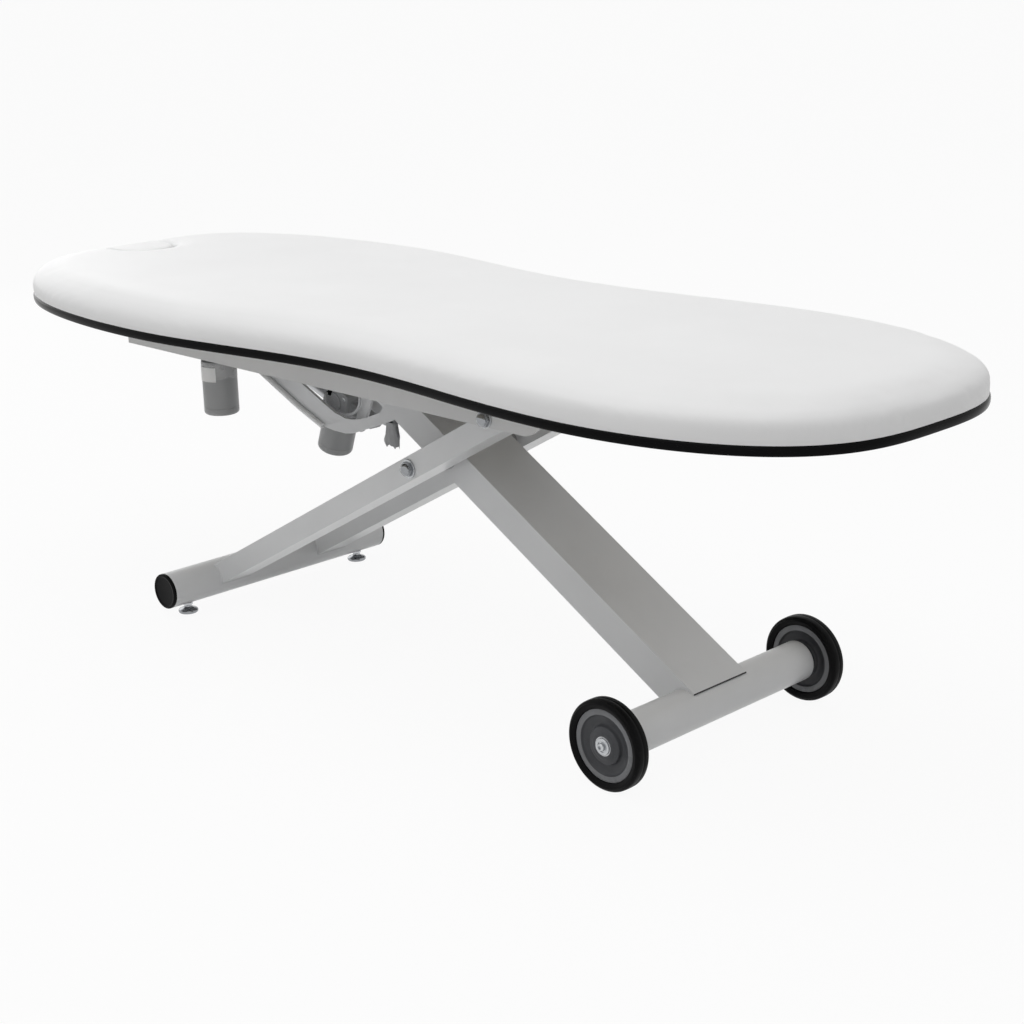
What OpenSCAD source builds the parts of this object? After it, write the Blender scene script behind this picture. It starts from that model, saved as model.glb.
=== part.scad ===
// Height-adjustable examination couch with a waisted cushion on a scissor frame.
// The origin is on the floor, below the middle of the cushion.
// +X points to the foot end and the wheels, +Y to the far side, +Z up.

/* [Cushion] */
// Length of the cushion and its base board
pad_l = 2050; // [1900:10:2200]
// Width across the shoulders
head_w = 740; // [680:5:800]
// Width at the waist
waist_w = 622; // [560:5:660]
// Width across the feet
foot_w = 700; // [650:5:760]
// Distance of the widest head section from the middle
head_x = 454; // [420:5:500]
// Distance of the waist from the middle, towards the feet
waist_x = 97; // [40:5:150]
// Distance of the widest foot section from the middle
lobe_x = 592; // [550:5:650]
// Squareness of the head end, 2 being an ellipse
head_square = 3.8; // [2.4:0.1:4.5]
// Squareness of the foot end, 2 being an ellipse
foot_square = 3.0; // [2.4:0.1:4.5]
// Height of the upholstery above the board
pad_h = 57; // [50:1:80]
// Radius of the cushion's top edge
pad_round = 40; // [30:1:50]
// Width of the face cut-out at the head end
notch_w = 128; // [100:2:150]
// Depth of the face cut-out from the head end
notch_l = 160; // [130:5:200]
// Gap round the face plug
plug_gap = 1.5; // [1:0.1:3]

/* [Base board] */
// Thickness of the base board
board_t = 15; // [12:1:20]
// Height of the board's underside in the drawn position
board_z = 593; // [590:1:610]
// Thickness of the black edge band
band_t = 3; // [2:0.5:5]
// Width of the hole in the board that holds the plug's foot
hole_w = 90; // [70:2:92]
// Length of that hole
hole_l = 110; // [96:2:120]
// Thickness of the plug's foot
plug_foot_t = 11; // [8:1:11]
// Diameter of the board screws
screw_d = 6; // [5:0.5:8]

/* [Scissor] */
// Height of the scissor pivot in the drawn position
pivot_h = 396; // [390:1:400]
// Distance of the scissor pivot from the middle, towards the feet
pivot_x = 68; // [60:1:75]
// Distance from the middle back to the front tube
front_x = 548; // [540:1:556]
// Distance from the middle out to the wheel axle
wheel_x = 616; // [608:1:624]
// Height of the front tube's axis
front_h = 55.5; // [54:0.5:58]
// Distance along the outer arms from scissor pivot to top pivot
top_reach = 294.6; // [292:0.2:298]
// Distance along the inner leg from scissor pivot to slide shaft
slide_reach = 262.6; // [260:0.2:266]
// Diameter of the scissor shaft
scissor_d = 25; // [20:1:28]
// Diameter of the top pivot bolts
bolt_d = 16; // [12:1:17]
// Radial running clearance of the pivots
run_fit = 0.05; // [0.02:0.01:0.1]
// Thickness of the pivot washers
washer_t = 3; // [2:0.5:4]
// Diameter of the pivot washers
washer_d = 34; // [30:1:36]
// Diameter of the chrome cap nuts' domes
cap_d = 21; // [18:1:22]
// Width across flats of the cap nuts
cap_flats = 24; // [22:1:26]
// Height of the cap nuts' hexagons
cap_hex_h = 4.5; // [3:0.5:6]
// Height of the cap nuts' domes
cap_h = 8.5; // [7:0.5:10]

/* [Outer arms] */
// Distance between the inner faces of the two arms
arm_gap = 174; // [170:1:178]
// Width of an arm
arm_w = 70; // [60:1:74]
// Height of an arm
arm_h = 41; // [38:1:44]
// Wall of the arms
arm_wall = 3; // [2:0.5:4]
// Diameter of the front and rear tubes
tube_d = 70; // [66:1:72]
// Wall of the front and rear tubes
tube_wall = 3; // [2:0.5:4]
// Overall length of the front tube with its end caps
front_l = 540; // [520:2:560]
// Thickness of the end caps outside the tube
end_cap_t = 6; // [4:0.5:9]

/* [Inner leg] */
// Width of the box beam
beam_w = 130; // [124:1:136]
// Depth of the box beam
beam_h = 60; // [56:1:64]
// Wall of the box beam
beam_wall = 4; // [3:0.5:5]
// Rise of the beam's centre line above the wheel axle
beam_rise = 8.5; // [4:0.5:12]
// Length of the slot in the underside at the upper end
fork_l = 150; // [140:5:170]
// Diameter of the slide shaft and the rear roller shaft
slide_d = 20; // [16:1:22]
// Distance back from the slide shaft to the lever pin
lever_x = 50; // [46:1:54]
// Distance down from the slide shaft to the lever pin
lever_z = 124; // [120:1:128]
// Thickness of a lever plate
lever_t = 6; // [5:0.5:8]
// Distance between the two lever plates
lever_gap = 56; // [52:1:60]
// Diameter of the lever pin
pin_d = 12; // [10:1:14]

/* [Wheels] */
// Diameter of a wheel
wheel_d = 150; // [144:1:156]
// Distance between the middles of the two wheels
wheel_track = 493; // [485:1:500]
// Width of a tyre
tyre_w = 30; // [26:1:34]
// Diameter of the rim under the tyre
rim_d = 120; // [110:1:126]
// Width of the rim
rim_w = 19; // [17:1:24]
// Width of the ring round the rim
ring_w = 10; // [8:0.5:12]
// Diameter of the hub disc
hub_d = 62; // [56:1:66]
// Length of the hub
hub_l = 25; // [23:1:27]
// Diameter of the stub axle
axle_d = 15; // [12:1:17]
// Outside diameter of the wheel bearing
bearing_d = 32; // [28:1:36]
// Diameter of the washer on the axle's end
axle_washer_d = 28; // [26:1:30]

/* [Levelling feet] */
// Distance between the two levelling feet
foot_track = 434; // [420:2:440]
// Diameter of a foot disc
disc_d = 34; // [30:1:44]
// Height of a foot disc's rim
disc_t = 4; // [3:0.5:5]
// Diameter of the ball in a foot disc
ball_d = 12; // [10:0.5:13]
// Height of the ball's centre
ball_h = 11; // [10:0.5:11.5]
// Diameter of the threaded stem
stem_d = 10; // [8:0.5:10]
// Height of a lock nut
nut_h = 5; // [3:0.5:5]

/* [Top frame] */
// Distance between the outer faces of the side rails
rail_track = 430; // [426:2:440]
// Distance from the middle back to the rails' head end
rail_head_x = 686; // [680:2:700]
// Distance from the middle out to the rails' foot end
rail_foot_x = 460; // [450:2:480]
// Height of the side rails
rail_h = 68; // [66:1:70]
// Sheet thickness of the side rails
rail_t = 4; // [3:0.5:5]
// Width of the rails' bottom flange
lip_w = 12; // [8:1:16]
// Width of the rails' top flange
flange_w = 30; // [24:1:40]
// Radius of the rails' lower corner at the foot end
rail_round = 52; // [40:1:60]
// Width of a cross member
cross_w = 40; // [30:1:44]
// Distance between the outer faces of the slotted guide plates
guide_track = 168; // [166:0.5:171]
// Thickness of a guide plate
guide_t = 10; // [8:0.5:11]
// Diameter of the track rollers
roller_d = 32; // [28:1:34]
// Clearance above and below a track roller
roller_gap = 1.5; // [1.5:0.1:2.5]
// Height of guide plate above and below its slots
guide_edge = 14; // [10:1:16]

/* [Slider arm] */
// Distance from the slide shaft back to the rear roller shaft
slider_l = 393; // [385:1:400]
// Distance between the outer faces of the two slider plates
slider_track = 112; // [108:1:114]
// Thickness of a slider plate
slider_t = 6; // [4:0.5:7]
// Width of the flange along a slider plate's lower edge
slider_lip = 8; // [5:0.5:12]
// Thickness of that flange
slider_lip_t = 4; // [3:0.5:6]

/* [Actuators] */
// Diameter of an actuator motor
motor_d = 68; // [62:1:70]
// Length of the tilted motor below its spindle
tilt_motor_l = 108; // [100:1:125]
// Length of the upright motor below its spindle
drop_motor_l = 134; // [126:1:144]
// Distance from the lever pin to the tilted motor's axis
tilt_motor_x = 88; // [84:1:92]
// Height of a gearbox
gear_h = 56; // [50:1:58]
// Width of a gearbox
gear_w = 50; // [44:1:52]
// Length of a gearbox
gear_l = 66; // [62:1:72]
// Diameter of an actuator's outer tube
sleeve_d = 46; // [42:1:48]
// Bore of an actuator's outer tube
sleeve_bore = 40; // [38:0.5:41]
// Diameter of an actuator's push rod
rod_d = 20; // [16:1:22]
// Distance from the mouth of the tilted actuator's tube to the rear roller shaft
tilt_mouth = 92; // [86:1:100]
// Length of the tilted actuator's push rod from its pin
tilt_rod_l = 190; // [180:1:200]
// Distance of the upright motor from the middle, towards the head
drop_motor_x = 524; // [515:1:530]
// Distance of the horizontal actuator from the centre line
drop_y = 120; // [118:1:124]
// Width of the eye on the tilted actuator's push rod
tilt_eye_w = 26; // [22:1:30]
// Width of the eye on the horizontal actuator's push rod
drop_eye_w = 20; // [16:1:24]
// Length of the horizontal actuator's push rod from its pin
drop_rod_l = 235; // [230:1:240]
// Distance from the slide shaft to the mouth of the horizontal tube
drop_mouth = 92; // [88:1:100]

/* [Lead] */
// Width of the folded lead that hangs from the slider arm
hank_w = 36; // [32:1:40]
// Height of the folded lead
hank_h = 60; // [56:1:66]
// Radius of the folded lead's turns where they hang on the peg
hank_top_r = 10; // [9:0.5:12]
// Thickness of the folded lead
hank_t = 8; // [6:0.5:9]
// Diameter of the peg that it hangs on
peg_d = 5; // [4:0.5:6]

/* [Hidden] */
$fn = 96;

NEAR = -1;
FAR = 1;
SIDES = [NEAR, FAR];
STEEL = "gainsboro";
BLACK = "dimgray";
CHROME = "silver";
GREY = "gray";
skin = 0.3;          // clearance between parts that lie side by side
touch = 0.01;        // overshoot of a cutting tool

// Main places in the X-Z plane, as [x, z].
wheel_r = wheel_d / 2;
pivot = [pivot_x, pivot_h];
front = [-front_x, front_h];
axle = [wheel_x, wheel_r];
arm_angle = atan2(pivot_h - front_h, pivot_x + front_x);
beam_angle = atan2(pivot_h - wheel_r - beam_rise, wheel_x - pivot_x);
arm_l = norm(pivot - front);
top_pivot = pivot + top_reach * [cos(arm_angle), sin(arm_angle)];
slide = pivot + slide_reach * [-cos(beam_angle), sin(beam_angle)];
rear = slide - [slider_l, 0];
lever = slide - [lever_x, lever_z];
tilt_angle = atan2(rear[1] - lever[1], lever[0] - rear[0]);
tilt_dir = [-cos(tilt_angle), sin(tilt_angle)];
tilt_len = norm(rear - lever);

// Places across the couch.
arm_y = arm_gap / 2 + arm_w / 2;
arm_out = arm_gap / 2 + arm_w;
rail_y = rail_track / 2;
guide_y = guide_track / 2 - guide_t / 2;
slider_y = slider_track / 2 - slider_t / 2;
lever_y = lever_gap / 2 + lever_t / 2;
rail_z = board_z - rail_h;
board_top = board_z + board_t;
slot_h = roller_d + 2 * roller_gap;
guide_low = slide[1] - slot_h / 2 - guide_edge;
guide_high = slide[1] + slot_h / 2 + guide_edge - 6;
// The slide shaft's travel along the rails, lowest and highest position.
travel_low = -54;
travel_high = 101;
cross_x = [-rail_head_x + cross_w / 2, -330, 60, rail_foot_x - rail_round - cross_w / 2];

// ---- points and outlines ----

function unit(v) = v / norm(v);
function arc(c, r, a0, a1, n) = [for (i = [0:n]) let (a = a0 + (a1 - a0) * i / n) c + r * [cos(a), sin(a)]];
function wrap(a) = a > 180 ? a - 360 : a < -180 ? a + 360 : a;
// One rounded corner at q, between its neighbours p and s.
function corner(p, q, s, r, n) =
    let (u = unit(p - q), v = unit(s - q), half = acos(u * v) / 2)
    let (c = q + unit(u + v) * r / sin(half), d = r / tan(half))
    let (b = q + u * d - c, e = q + v * d - c, a0 = atan2(b[1], b[0]))
    arc(c, r, a0, a0 + wrap(atan2(e[1], e[0]) - a0), n);
function rounded(pts, r, n = 5) = [
    for (i = [0:len(pts) - 1])
        each corner(pts[(i + len(pts) - 1) % len(pts)], pts[i], pts[(i + 1) % len(pts)], r, n)
];

// Half width of the cushion between the head lobe, the waist and the foot lobe.
function blend(a, b, t) = (a + b) / 2 + (a - b) / 2 * cos(180 * t);
function half_width(x) =
    x < waist_x ? blend(head_w, waist_w, (x + head_x) / (waist_x + head_x)) / 2
    : blend(waist_w, foot_w, (x - waist_x) / (lobe_x - waist_x)) / 2;
function end_arc(x0, reach, half, square, t) = [x0 + reach * sin(t), half * pow(cos(t), 2 / square)];
// The outline of one side, from the head end to the foot end.
side_steps = 16;
mid_steps = 22;
function far_side() = concat(
    [for (i = [0:side_steps - 1])
        end_arc(-head_x, -(pad_l / 2 - head_x), head_w / 2, head_square, 90 * pow(1 - i / side_steps, 1.35))],
    [for (i = [0:mid_steps - 1]) let (x = -head_x + (head_x + lobe_x) * i / mid_steps) [x, half_width(x)]],
    [for (i = [0:side_steps])
        end_arc(lobe_x, pad_l / 2 - lobe_x, foot_w / 2, foot_square, 90 * pow(i / side_steps, 1 / 1.2))]
);
function outline() = let (a = far_side(), n = len(a)) concat(a, [for (i = [n - 2:-1:1]) [a[i][0], -a[i][1]]]);
// The outline moved inwards by d, along its own normals. It runs clockwise.
function inset(pts, d) = let (n = len(pts)) [
    for (i = [0:n - 1])
        let (t = unit(pts[(i + 1) % n] - pts[(i + n - 1) % n]))
        pts[i] + d * [t[1], -t[0]]
];
edge = outline();

// ---- shared shapes ----

// A flat plate from an X-Z outline, t thick, with its middle at y.
module plate(t, y = 0) {
    translate([0, y + t / 2, 0]) rotate([90, 0, 0]) linear_extrude(t) children();
}

// A round bar along Y, with its middle at y.
module bar(d, l, at, y = 0) {
    translate([at[0], y + l / 2, at[1]]) rotate([90, 0, 0]) cylinder(d = d, h = l);
}

// A round bar with a bore.
module ring(d, bore, l, at, y = 0) {
    difference() {
        bar(d, l, at, y);
        bar(bore, l + 2 * touch, at, y);
    }
}

// Moves a shape drawn along +X onto a line that starts at p and rises at angle a.
module along(p, a) {
    translate([p[0], 0, p[1]]) rotate([0, -a, 0]) children();
}

// A solid rectangular bar along +X from x0 to x1.
module stick(x0, x1, w, h, y = 0) {
    translate([x0, y - w / 2, -h / 2]) cube([x1 - x0, w, h]);
}

// A domed cap nut that points along Y from y, on side s.
module cap_nut(at, y, s) {
    crown = cap_h * 0.75;
    ball = (cap_d * cap_d / 4 + crown * crown) / (2 * crown);
    h = cap_hex_h + cap_h;
    translate([at[0], y, at[1]]) rotate([-90 * s, 0, 0]) {
        cylinder(d = cap_flats / cos(30), h = cap_hex_h, $fn = 6);
        cylinder(d = cap_d, h = h - crown);
        intersection() {
            translate([0, 0, h - ball]) sphere(r = ball);
            translate([0, 0, h - crown]) cylinder(d = cap_d, h = crown);
        }
    }
}

// A hexagonal nut along Y.
module hex(across, l, at, y) {
    translate([at[0], y + l / 2, at[1]]) rotate([90, 0, 0]) cylinder(d = across / cos(30), h = l, $fn = 6);
}

// ---- levelling feet ----

module foot_disc(s) {
    socket_h = ball_h + 1;
    color(CHROME) translate([-front_x, s * foot_track / 2, 0]) difference() {
        union() {
            cylinder(d = disc_d, h = disc_t);
            translate([0, 0, disc_t]) cylinder(d1 = disc_d - 2, d2 = ball_d + 5, h = socket_h - disc_t);
        }
        translate([0, 0, ball_h]) sphere(r = ball_d / 2 + run_fit);
    }
}

nut_z = front_h - tube_d / 2 - nut_h;

module foot_stems() {
    top = front_h - tube_d / 2 + tube_wall + 12;
    color(CHROME) for (s = SIDES) translate([-front_x, s * foot_track / 2, 0]) {
        translate([0, 0, ball_h]) sphere(d = ball_d);
        translate([0, 0, ball_h]) cylinder(d = stem_d - 2, h = top - ball_h);
        translate([0, 0, nut_z]) cylinder(d = stem_d, h = top - nut_z);
    }
}

module foot_lock_nuts() {
    across = stem_d + 7;
    color(CHROME) for (s = SIDES) translate([-front_x, s * foot_track / 2, nut_z]) {
        difference() {
            cylinder(d = across / cos(30), h = nut_h, $fn = 6);
            translate([0, 0, -touch]) cylinder(d = stem_d, h = nut_h + 2 * touch);
        }
    }
}

// ---- outer arms ----

module front_tube() {
    l = front_l - 2 * end_cap_t;
    color(STEEL) difference() {
        ring(tube_d, tube_d - 2 * tube_wall, l, front);
        for (s = SIDES) translate([-front_x, s * foot_track / 2, 0]) cylinder(d = stem_d, h = front_h);
    }
}

module front_caps() {
    lip = 2;
    plug_l = 18;
    color(BLACK) for (s = SIDES) {
        y0 = s * (front_l / 2 - end_cap_t);
        bar(tube_d, end_cap_t - lip, front, y0 + s * (end_cap_t - lip) / 2);
        bar(tube_d - 2 * lip, lip, front, s * (front_l - lip) / 2);
        ring(tube_d - 2 * tube_wall, tube_d - 4 * tube_wall - 4, plug_l, front, y0 - s * plug_l / 2);
    }
}

// The side view of a tube from x0 to x1, with a half-round end at x1.
function round_end(x0, x1, h) = concat([[x0, h / 2], [x0, -h / 2]], arc([x1, 0], h / 2, -90, 90, 16));

module outer_arm(s) {
    y = s * arm_y;
    l = arm_l + top_reach;
    color(STEEL) difference() {
        union() {
            along(front, arm_angle) difference() {
                plate(arm_w, y) polygon(round_end(0, l, arm_h));
                plate(arm_w - 2 * arm_wall, y) polygon(round_end(-1, l, arm_h - 2 * arm_wall));
            }
            bar(scissor_d + 9, arm_w - 1, pivot, y);
            bar(bolt_d + 10, arm_w - 1, top_pivot, y);
        }
        bar(tube_d, front_l, front);
        bar(scissor_d + 2 * run_fit, arm_w + 1, pivot, y);
        bar(bolt_d + 2 * run_fit, arm_w + 1, top_pivot, y);
    }
}

// ---- inner leg ----

module box_beam() {
    end = norm(axle - pivot);
    inner = beam_h - 2 * beam_wall;
    gap = beam_w - 2 * beam_wall;
    color(STEEL) difference() {
        union() {
            along(pivot, -beam_angle) difference() {
                mirror([1, 0, 0]) plate(beam_w) polygon(round_end(-end, slide_reach, beam_h));
                stick(-slide_reach - beam_h, end + 1, gap, inner);
                translate([0, 0, -beam_h / 2]) stick(-slide_reach - beam_h, fork_l - slide_reach, gap, inner);
                // Clears the top wall where the side walls are rounded off.
                stick(-slide_reach - beam_h, -slide_reach, gap, beam_h + 2);
            }
            bar(scissor_d + 11, beam_w - 1, pivot);
        }
        bar(tube_d, wheel_track, axle);
        bar(scissor_d, beam_w + 1, pivot);
        bar(slide_d, beam_w + 1, slide);
    }
}

rear_l = wheel_track - tyre_w - 8;
plug_t = 12;

module rear_tube() {
    color(STEEL) ring(tube_d, tube_d - 2 * tube_wall, rear_l, axle);
}

module stub_axles() {
    reach = (wheel_track + hub_l) / 2 + skin;
    color(CHROME) for (s = SIDES) {
        bar(tube_d - 2 * tube_wall, plug_t, axle, s * (rear_l - plug_t) / 2);
        bar(axle_d, reach - rear_l / 2, axle, s * (reach + rear_l / 2) / 2);
        shoulder = (wheel_track - hub_l - rear_l) / 2 - skin;
        bar(axle_d + 7, shoulder, axle, s * (rear_l + shoulder) / 2);
    }
}

axle_washer_t = 2.5;
module axle_washers() {
    color(CHROME) for (s = SIDES)
        ring(axle_washer_d, 8, axle_washer_t, axle, s * ((wheel_track + hub_l + axle_washer_t) / 2 + skin));
}

module axle_screws() {
    head_d = 13;
    head_l = 8;
    y0 = (wheel_track + hub_l) / 2 + skin + axle_washer_t;
    color(CHROME) for (s = SIDES) {
        bar(8, axle_washer_t, axle, s * (y0 - axle_washer_t / 2));
        difference() {
            bar(head_d, head_l, axle, s * (y0 + head_l / 2));
            hex(6, head_l, axle, s * (y0 + head_l / 2 + 3));
        }
    }
}

module scissor_shaft() {
    color(CHROME) bar(scissor_d, 2 * arm_out + 2 * skin, pivot);
}

module scissor_spacers() {
    l = arm_gap / 2 - beam_w / 2 - skin;
    color(BLACK) for (s = SIDES) ring(scissor_d + 14, scissor_d, l, pivot, s * (beam_w + l) / 2);
}

module scissor_washers() {
    color(CHROME) for (s = SIDES) bar(washer_d, washer_t, pivot, s * (arm_out + skin + washer_t / 2));
}

module scissor_caps() {
    color(CHROME) for (s = SIDES) cap_nut(pivot, s * (arm_out + skin + washer_t), s);
}

// The slide shaft reaches past the near guide plate, where the horizontal rod pushes it.
module slide_shaft() {
    near_end = drop_y + 14;
    far_end = guide_track / 2 + 2;
    color(CHROME) bar(slide_d, near_end + far_end, slide, (far_end - near_end) / 2);
}

module lever_plates() {
    neck = 18;
    tip = 13;
    dir = unit(lever - slide);
    side = [dir[1], -dir[0]];
    color(STEEL) for (s = SIDES) difference() {
        union() {
            plate(lever_t, s * lever_y)
                polygon([slide + side * neck, lever + side * tip, lever - side * tip, slide - side * neck]);
            bar(2 * neck, lever_t, slide, s * lever_y);
            bar(2 * tip, lever_t, lever, s * lever_y);
        }
        bar(slide_d, lever_t + 1, slide, s * lever_y);
        bar(pin_d, lever_t + 1, lever, s * lever_y);
    }
}

module lever_pin() {
    color(CHROME) bar(pin_d, lever_gap + 2 * lever_t + 4, lever);
}

// ---- wheels ----

// Half of the tyre's section, as [radius, width].
module tyre(s) {
    wall = 2;
    crown = 9;
    r = wheel_r;
    w = tyre_w / 2;
    inner = rim_d / 2;
    sect = concat(
        [[inner, -rim_w / 2], [inner + wall, -w + 3]],
        arc([r - crown, -w + crown], crown, -90, 0, 6),
        arc([r - crown, w - crown], crown, 0, 90, 6),
        [[inner + wall, w - 3], [inner, rim_w / 2]]
    );
    color(BLACK) translate([wheel_x, s * wheel_track / 2, wheel_r]) rotate([90, 0, 0])
        rotate_extrude() polygon(sect);
}

module rim(s) {
    web = 6;
    deep = 3;
    r = rim_d / 2;
    h = hub_d / 2;
    sect = [
        [bearing_d / 2, -hub_l / 2], [bearing_d / 2 + 5, -hub_l / 2], [h, -rim_w / 2], [h + 3, -web / 2],
        [r - ring_w - deep, -web / 2], [r - ring_w, -rim_w / 2], [r, -rim_w / 2],
        [r, rim_w / 2], [r - ring_w, rim_w / 2], [r - ring_w - deep, web / 2],
        [h + 3, web / 2], [h, rim_w / 2], [bearing_d / 2 + 5, hub_l / 2], [bearing_d / 2, hub_l / 2]
    ];
    color(GREY) translate([wheel_x, s * wheel_track / 2, wheel_r]) rotate([90, 0, 0])
        rotate_extrude() polygon(sect);
}

module bearing(s) {
    color(CHROME) ring(bearing_d, axle_d + 2 * run_fit, hub_l, axle, s * wheel_track / 2);
}

// ---- track rollers and slider arm ----

module rollers(at) {
    color(BLACK) for (s = SIDES) ring(roller_d, slide_d + 2 * run_fit, guide_t, at, s * guide_y);
}

// The slider plate's outline, in distances from the slide shaft.
boomerang = [
    [-slider_l + 8, -24], [-199, -108], [-128, -135], [-100, -138], [-66, -138], [-43, -134],
    [51, -99], [77, -88], [22, 6], [-20, 4], [-17, -14], [46, -70], [38, -81], [6, -94], [-21, -103],
    [-44, -108], [-65, -109],
    [-94, -103], [-128, -89], [-186, -63], [-slider_l - 6, 22]
];

// The flange's strip, inside the plate's lower edge.
function lip_strip() =
    let (p = [for (i = [0:2]) slide + boomerang[i]])
    let (d = unit(p[1] - p[0]), e = unit(p[2] - p[1]))
    let (a = p[0] + 26 * d, n = [-d[1], d[0]] * slider_lip_t, m = [-e[1], e[0]] * slider_lip_t)
    [a, p[1], p[2], p[2] + m, p[1] + m, a + n];

module slider_plate(s) {
    boss = 22;
    color(STEEL) difference() {
        union() {
            plate(slider_t, s * slider_y)
                polygon(rounded([for (p = boomerang) slide + p], 3));
            bar(2 * boss, slider_t, rear, s * slider_y);
            bar(2 * boss, slider_t, slide, s * slider_y);
            plate(slider_t + slider_lip, s * (slider_y + slider_lip / 2)) polygon(lip_strip());
        }
        bar(slide_d + 2 * run_fit, slider_t + 1, slide, s * slider_y);
        bar(slide_d, slider_t + 1, rear, s * slider_y);
    }
}

module rear_shaft() {
    color(CHROME) bar(slide_d, guide_track + 4, rear);
}

// ---- actuators ----

// A push rod along +X from its eye, which sits on a shaft of the given diameter.
module push_rod(l, shaft, eye_w) {
    eye_d = shaft + 14;
    difference() {
        union() {
            translate([0, eye_w / 2, 0]) rotate([90, 0, 0]) cylinder(d = eye_d, h = eye_w);
            rotate([0, 90, 0]) cylinder(d = rod_d, h = l);
        }
        translate([0, eye_w / 2 + 1, 0]) rotate([90, 0, 0]) cylinder(d = shaft + 2 * run_fit, h = eye_w + 2);
    }
}

module tilt_rod() {
    color(CHROME) along(rear, -tilt_angle) push_rod(tilt_rod_l, slide_d, tilt_eye_w);
}

module drop_rod() {
    color(CHROME) translate([slide[0], -drop_y, slide[1]]) rotate([0, 0, 180])
        push_rod(drop_rod_l, slide_d, drop_eye_w);
}

module gearbox(l, w, h) {
    chamfer = 8;
    pts = [[-l / 2, -h / 2], [l / 2, -h / 2], [l / 2, h / 2], [-l / 2, h / 2]];
    plate(w) polygon(rounded(pts, chamfer, 4));
}

// The tilted actuator's parts are drawn along the line from lever pin to rear shaft.
module on_tilt_line() {
    along(lever, 180 - tilt_angle) children();
}

module tilt_gearbox() {
    color(GREY) difference() {
        union() {
            on_tilt_line() translate([tilt_motor_x, 0, 0]) gearbox(gear_l, gear_w, gear_h);
            on_tilt_line() mirror([1, 0, 0]) plate(24) polygon(round_end(gear_l / 2 - tilt_motor_x - 1, 0, 24));
        }
        bar(pin_d + 2 * run_fit, gear_w, lever);
    }
}

// The line runs up to the left, so its own underside is the motor's side.
module tilt_motor() {
    color(GREY) on_tilt_line() translate([tilt_motor_x, 0, gear_h / 2])
        cylinder(d = motor_d, h = tilt_motor_l - gear_h / 2);
}

// The sleeve ends where the push rod's eye comes nearest at the end of the travel.
module tilt_sleeve() {
    start = tilt_motor_x + gear_l / 2;
    reach = tilt_len - tilt_mouth - start;
    color(CHROME) on_tilt_line() translate([start, 0, 0]) rotate([0, 90, 0]) difference() {
        cylinder(d = sleeve_d, h = reach);
        translate([0, 0, -touch]) cylinder(d = sleeve_bore, h = reach + 2 * touch);
    }
}

module drop_gearbox() {
    color(GREY) translate([-drop_motor_x, -drop_y, slide[1]]) {
        gearbox(gear_l, gear_w, gear_h);
        stick(-gear_l / 2 - 30, -gear_l / 2, 22, 26);
    }
}

module drop_motor() {
    color(GREY) translate([-drop_motor_x, -drop_y, slide[1] - drop_motor_l])
        cylinder(d = motor_d, h = drop_motor_l - gear_h / 2);
}

module drop_sleeve() {
    x0 = -drop_motor_x + gear_l / 2;
    x1 = slide[0] - drop_mouth;
    color(CHROME) translate([x0, -drop_y, slide[1]]) rotate([0, 90, 0]) difference() {
        cylinder(d = sleeve_d, h = x1 - x0);
        translate([0, 0, -touch]) cylinder(d = sleeve_bore, h = x1 - x0 + 2 * touch);
    }
}

// The bracket holds the horizontal actuator's tail below the head cross member.
module drop_bracket() {
    tail = -drop_motor_x - gear_l / 2 - 30;
    x0 = cross_x[0] - cross_w / 2;
    low = slide[1] - 20;
    color(STEEL) translate([x0, -drop_y - 18, low]) cube([tail - x0, 36, guide_high - low]);
}

// ---- top frame ----

module side_rail(s) {
    web = rounded_rail();
    y_in = rail_y - rail_t;
    flat_end = rail_foot_x - rail_round;
    color(STEEL) difference() {
        union() {
            plate(rail_t, s * (rail_y - rail_t / 2)) polygon(web);
            translate([-rail_head_x, s > 0 ? y_in - lip_w : -y_in, rail_z])
                cube([rail_head_x + flat_end, lip_w, rail_t]);
            translate([-rail_head_x, s > 0 ? y_in - flange_w : -y_in, board_z - rail_t])
                cube([rail_head_x + rail_foot_x, flange_w, rail_t]);
        }
        bar(bolt_d, 4 * rail_t, top_pivot, s * rail_y);
        for (x = screw_x) translate([x, s * screw_y, board_z - rail_t - 1]) cylinder(d = screw_d, h = rail_t + 2);
    }
}

function rounded_rail() = concat(
    [[-rail_head_x, board_z], [-rail_head_x, rail_z]],
    arc([rail_foot_x - rail_round, rail_z + rail_round], rail_round, -90, 0, 10),
    [[rail_foot_x, board_z]]
);

module cross_members() {
    w = 2 * (rail_y - rail_t);
    h = board_z - guide_high - rail_t;
    wall = 3;
    color(STEEL) for (x = cross_x) translate([x, 0, guide_high + h / 2]) difference() {
        cube([cross_w, w, h], center = true);
        cube([cross_w - 2 * wall, w + 2, h - 2 * wall], center = true);
    }
}

// A long hole in the X-Z plane for a roller that travels from x0 to x1.
module slot(x0, x1) {
    translate([x0, slide[1] - slot_h / 2]) square([x1 - x0, slot_h]);
    for (x = [x0, x1]) translate([x, slide[1]]) circle(d = slot_h);
}

module guide_plates() {
    x0 = cross_x[0] - cross_w / 2;
    x1 = cross_x[2] + cross_w / 2;
    ease = 2;
    color(STEEL) for (s = SIDES) plate(guide_t, s * guide_y) difference() {
        translate([x0, guide_low]) square([x1 - x0, guide_high - guide_low]);
        slot(slide[0] + travel_low - ease, slide[0] + travel_high + ease);
        slot(rear[0] + travel_low - ease, rear[0] + travel_high + ease);
    }
}

box_l = 150;
module control_box() {
    w = 70;
    y0 = guide_track / 2 + 24;
    x0 = cross_x[1] - cross_w / 2 - skin - box_l;
    h = board_z - guide_high;
    color(BLACK) translate([x0, y0, guide_high]) difference() {
        cube([box_l, w, h]);
        translate([3, 3, 3]) cube([box_l - 6, w - 6, h - 6]);
    }
}

// ---- top pivots ----

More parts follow.
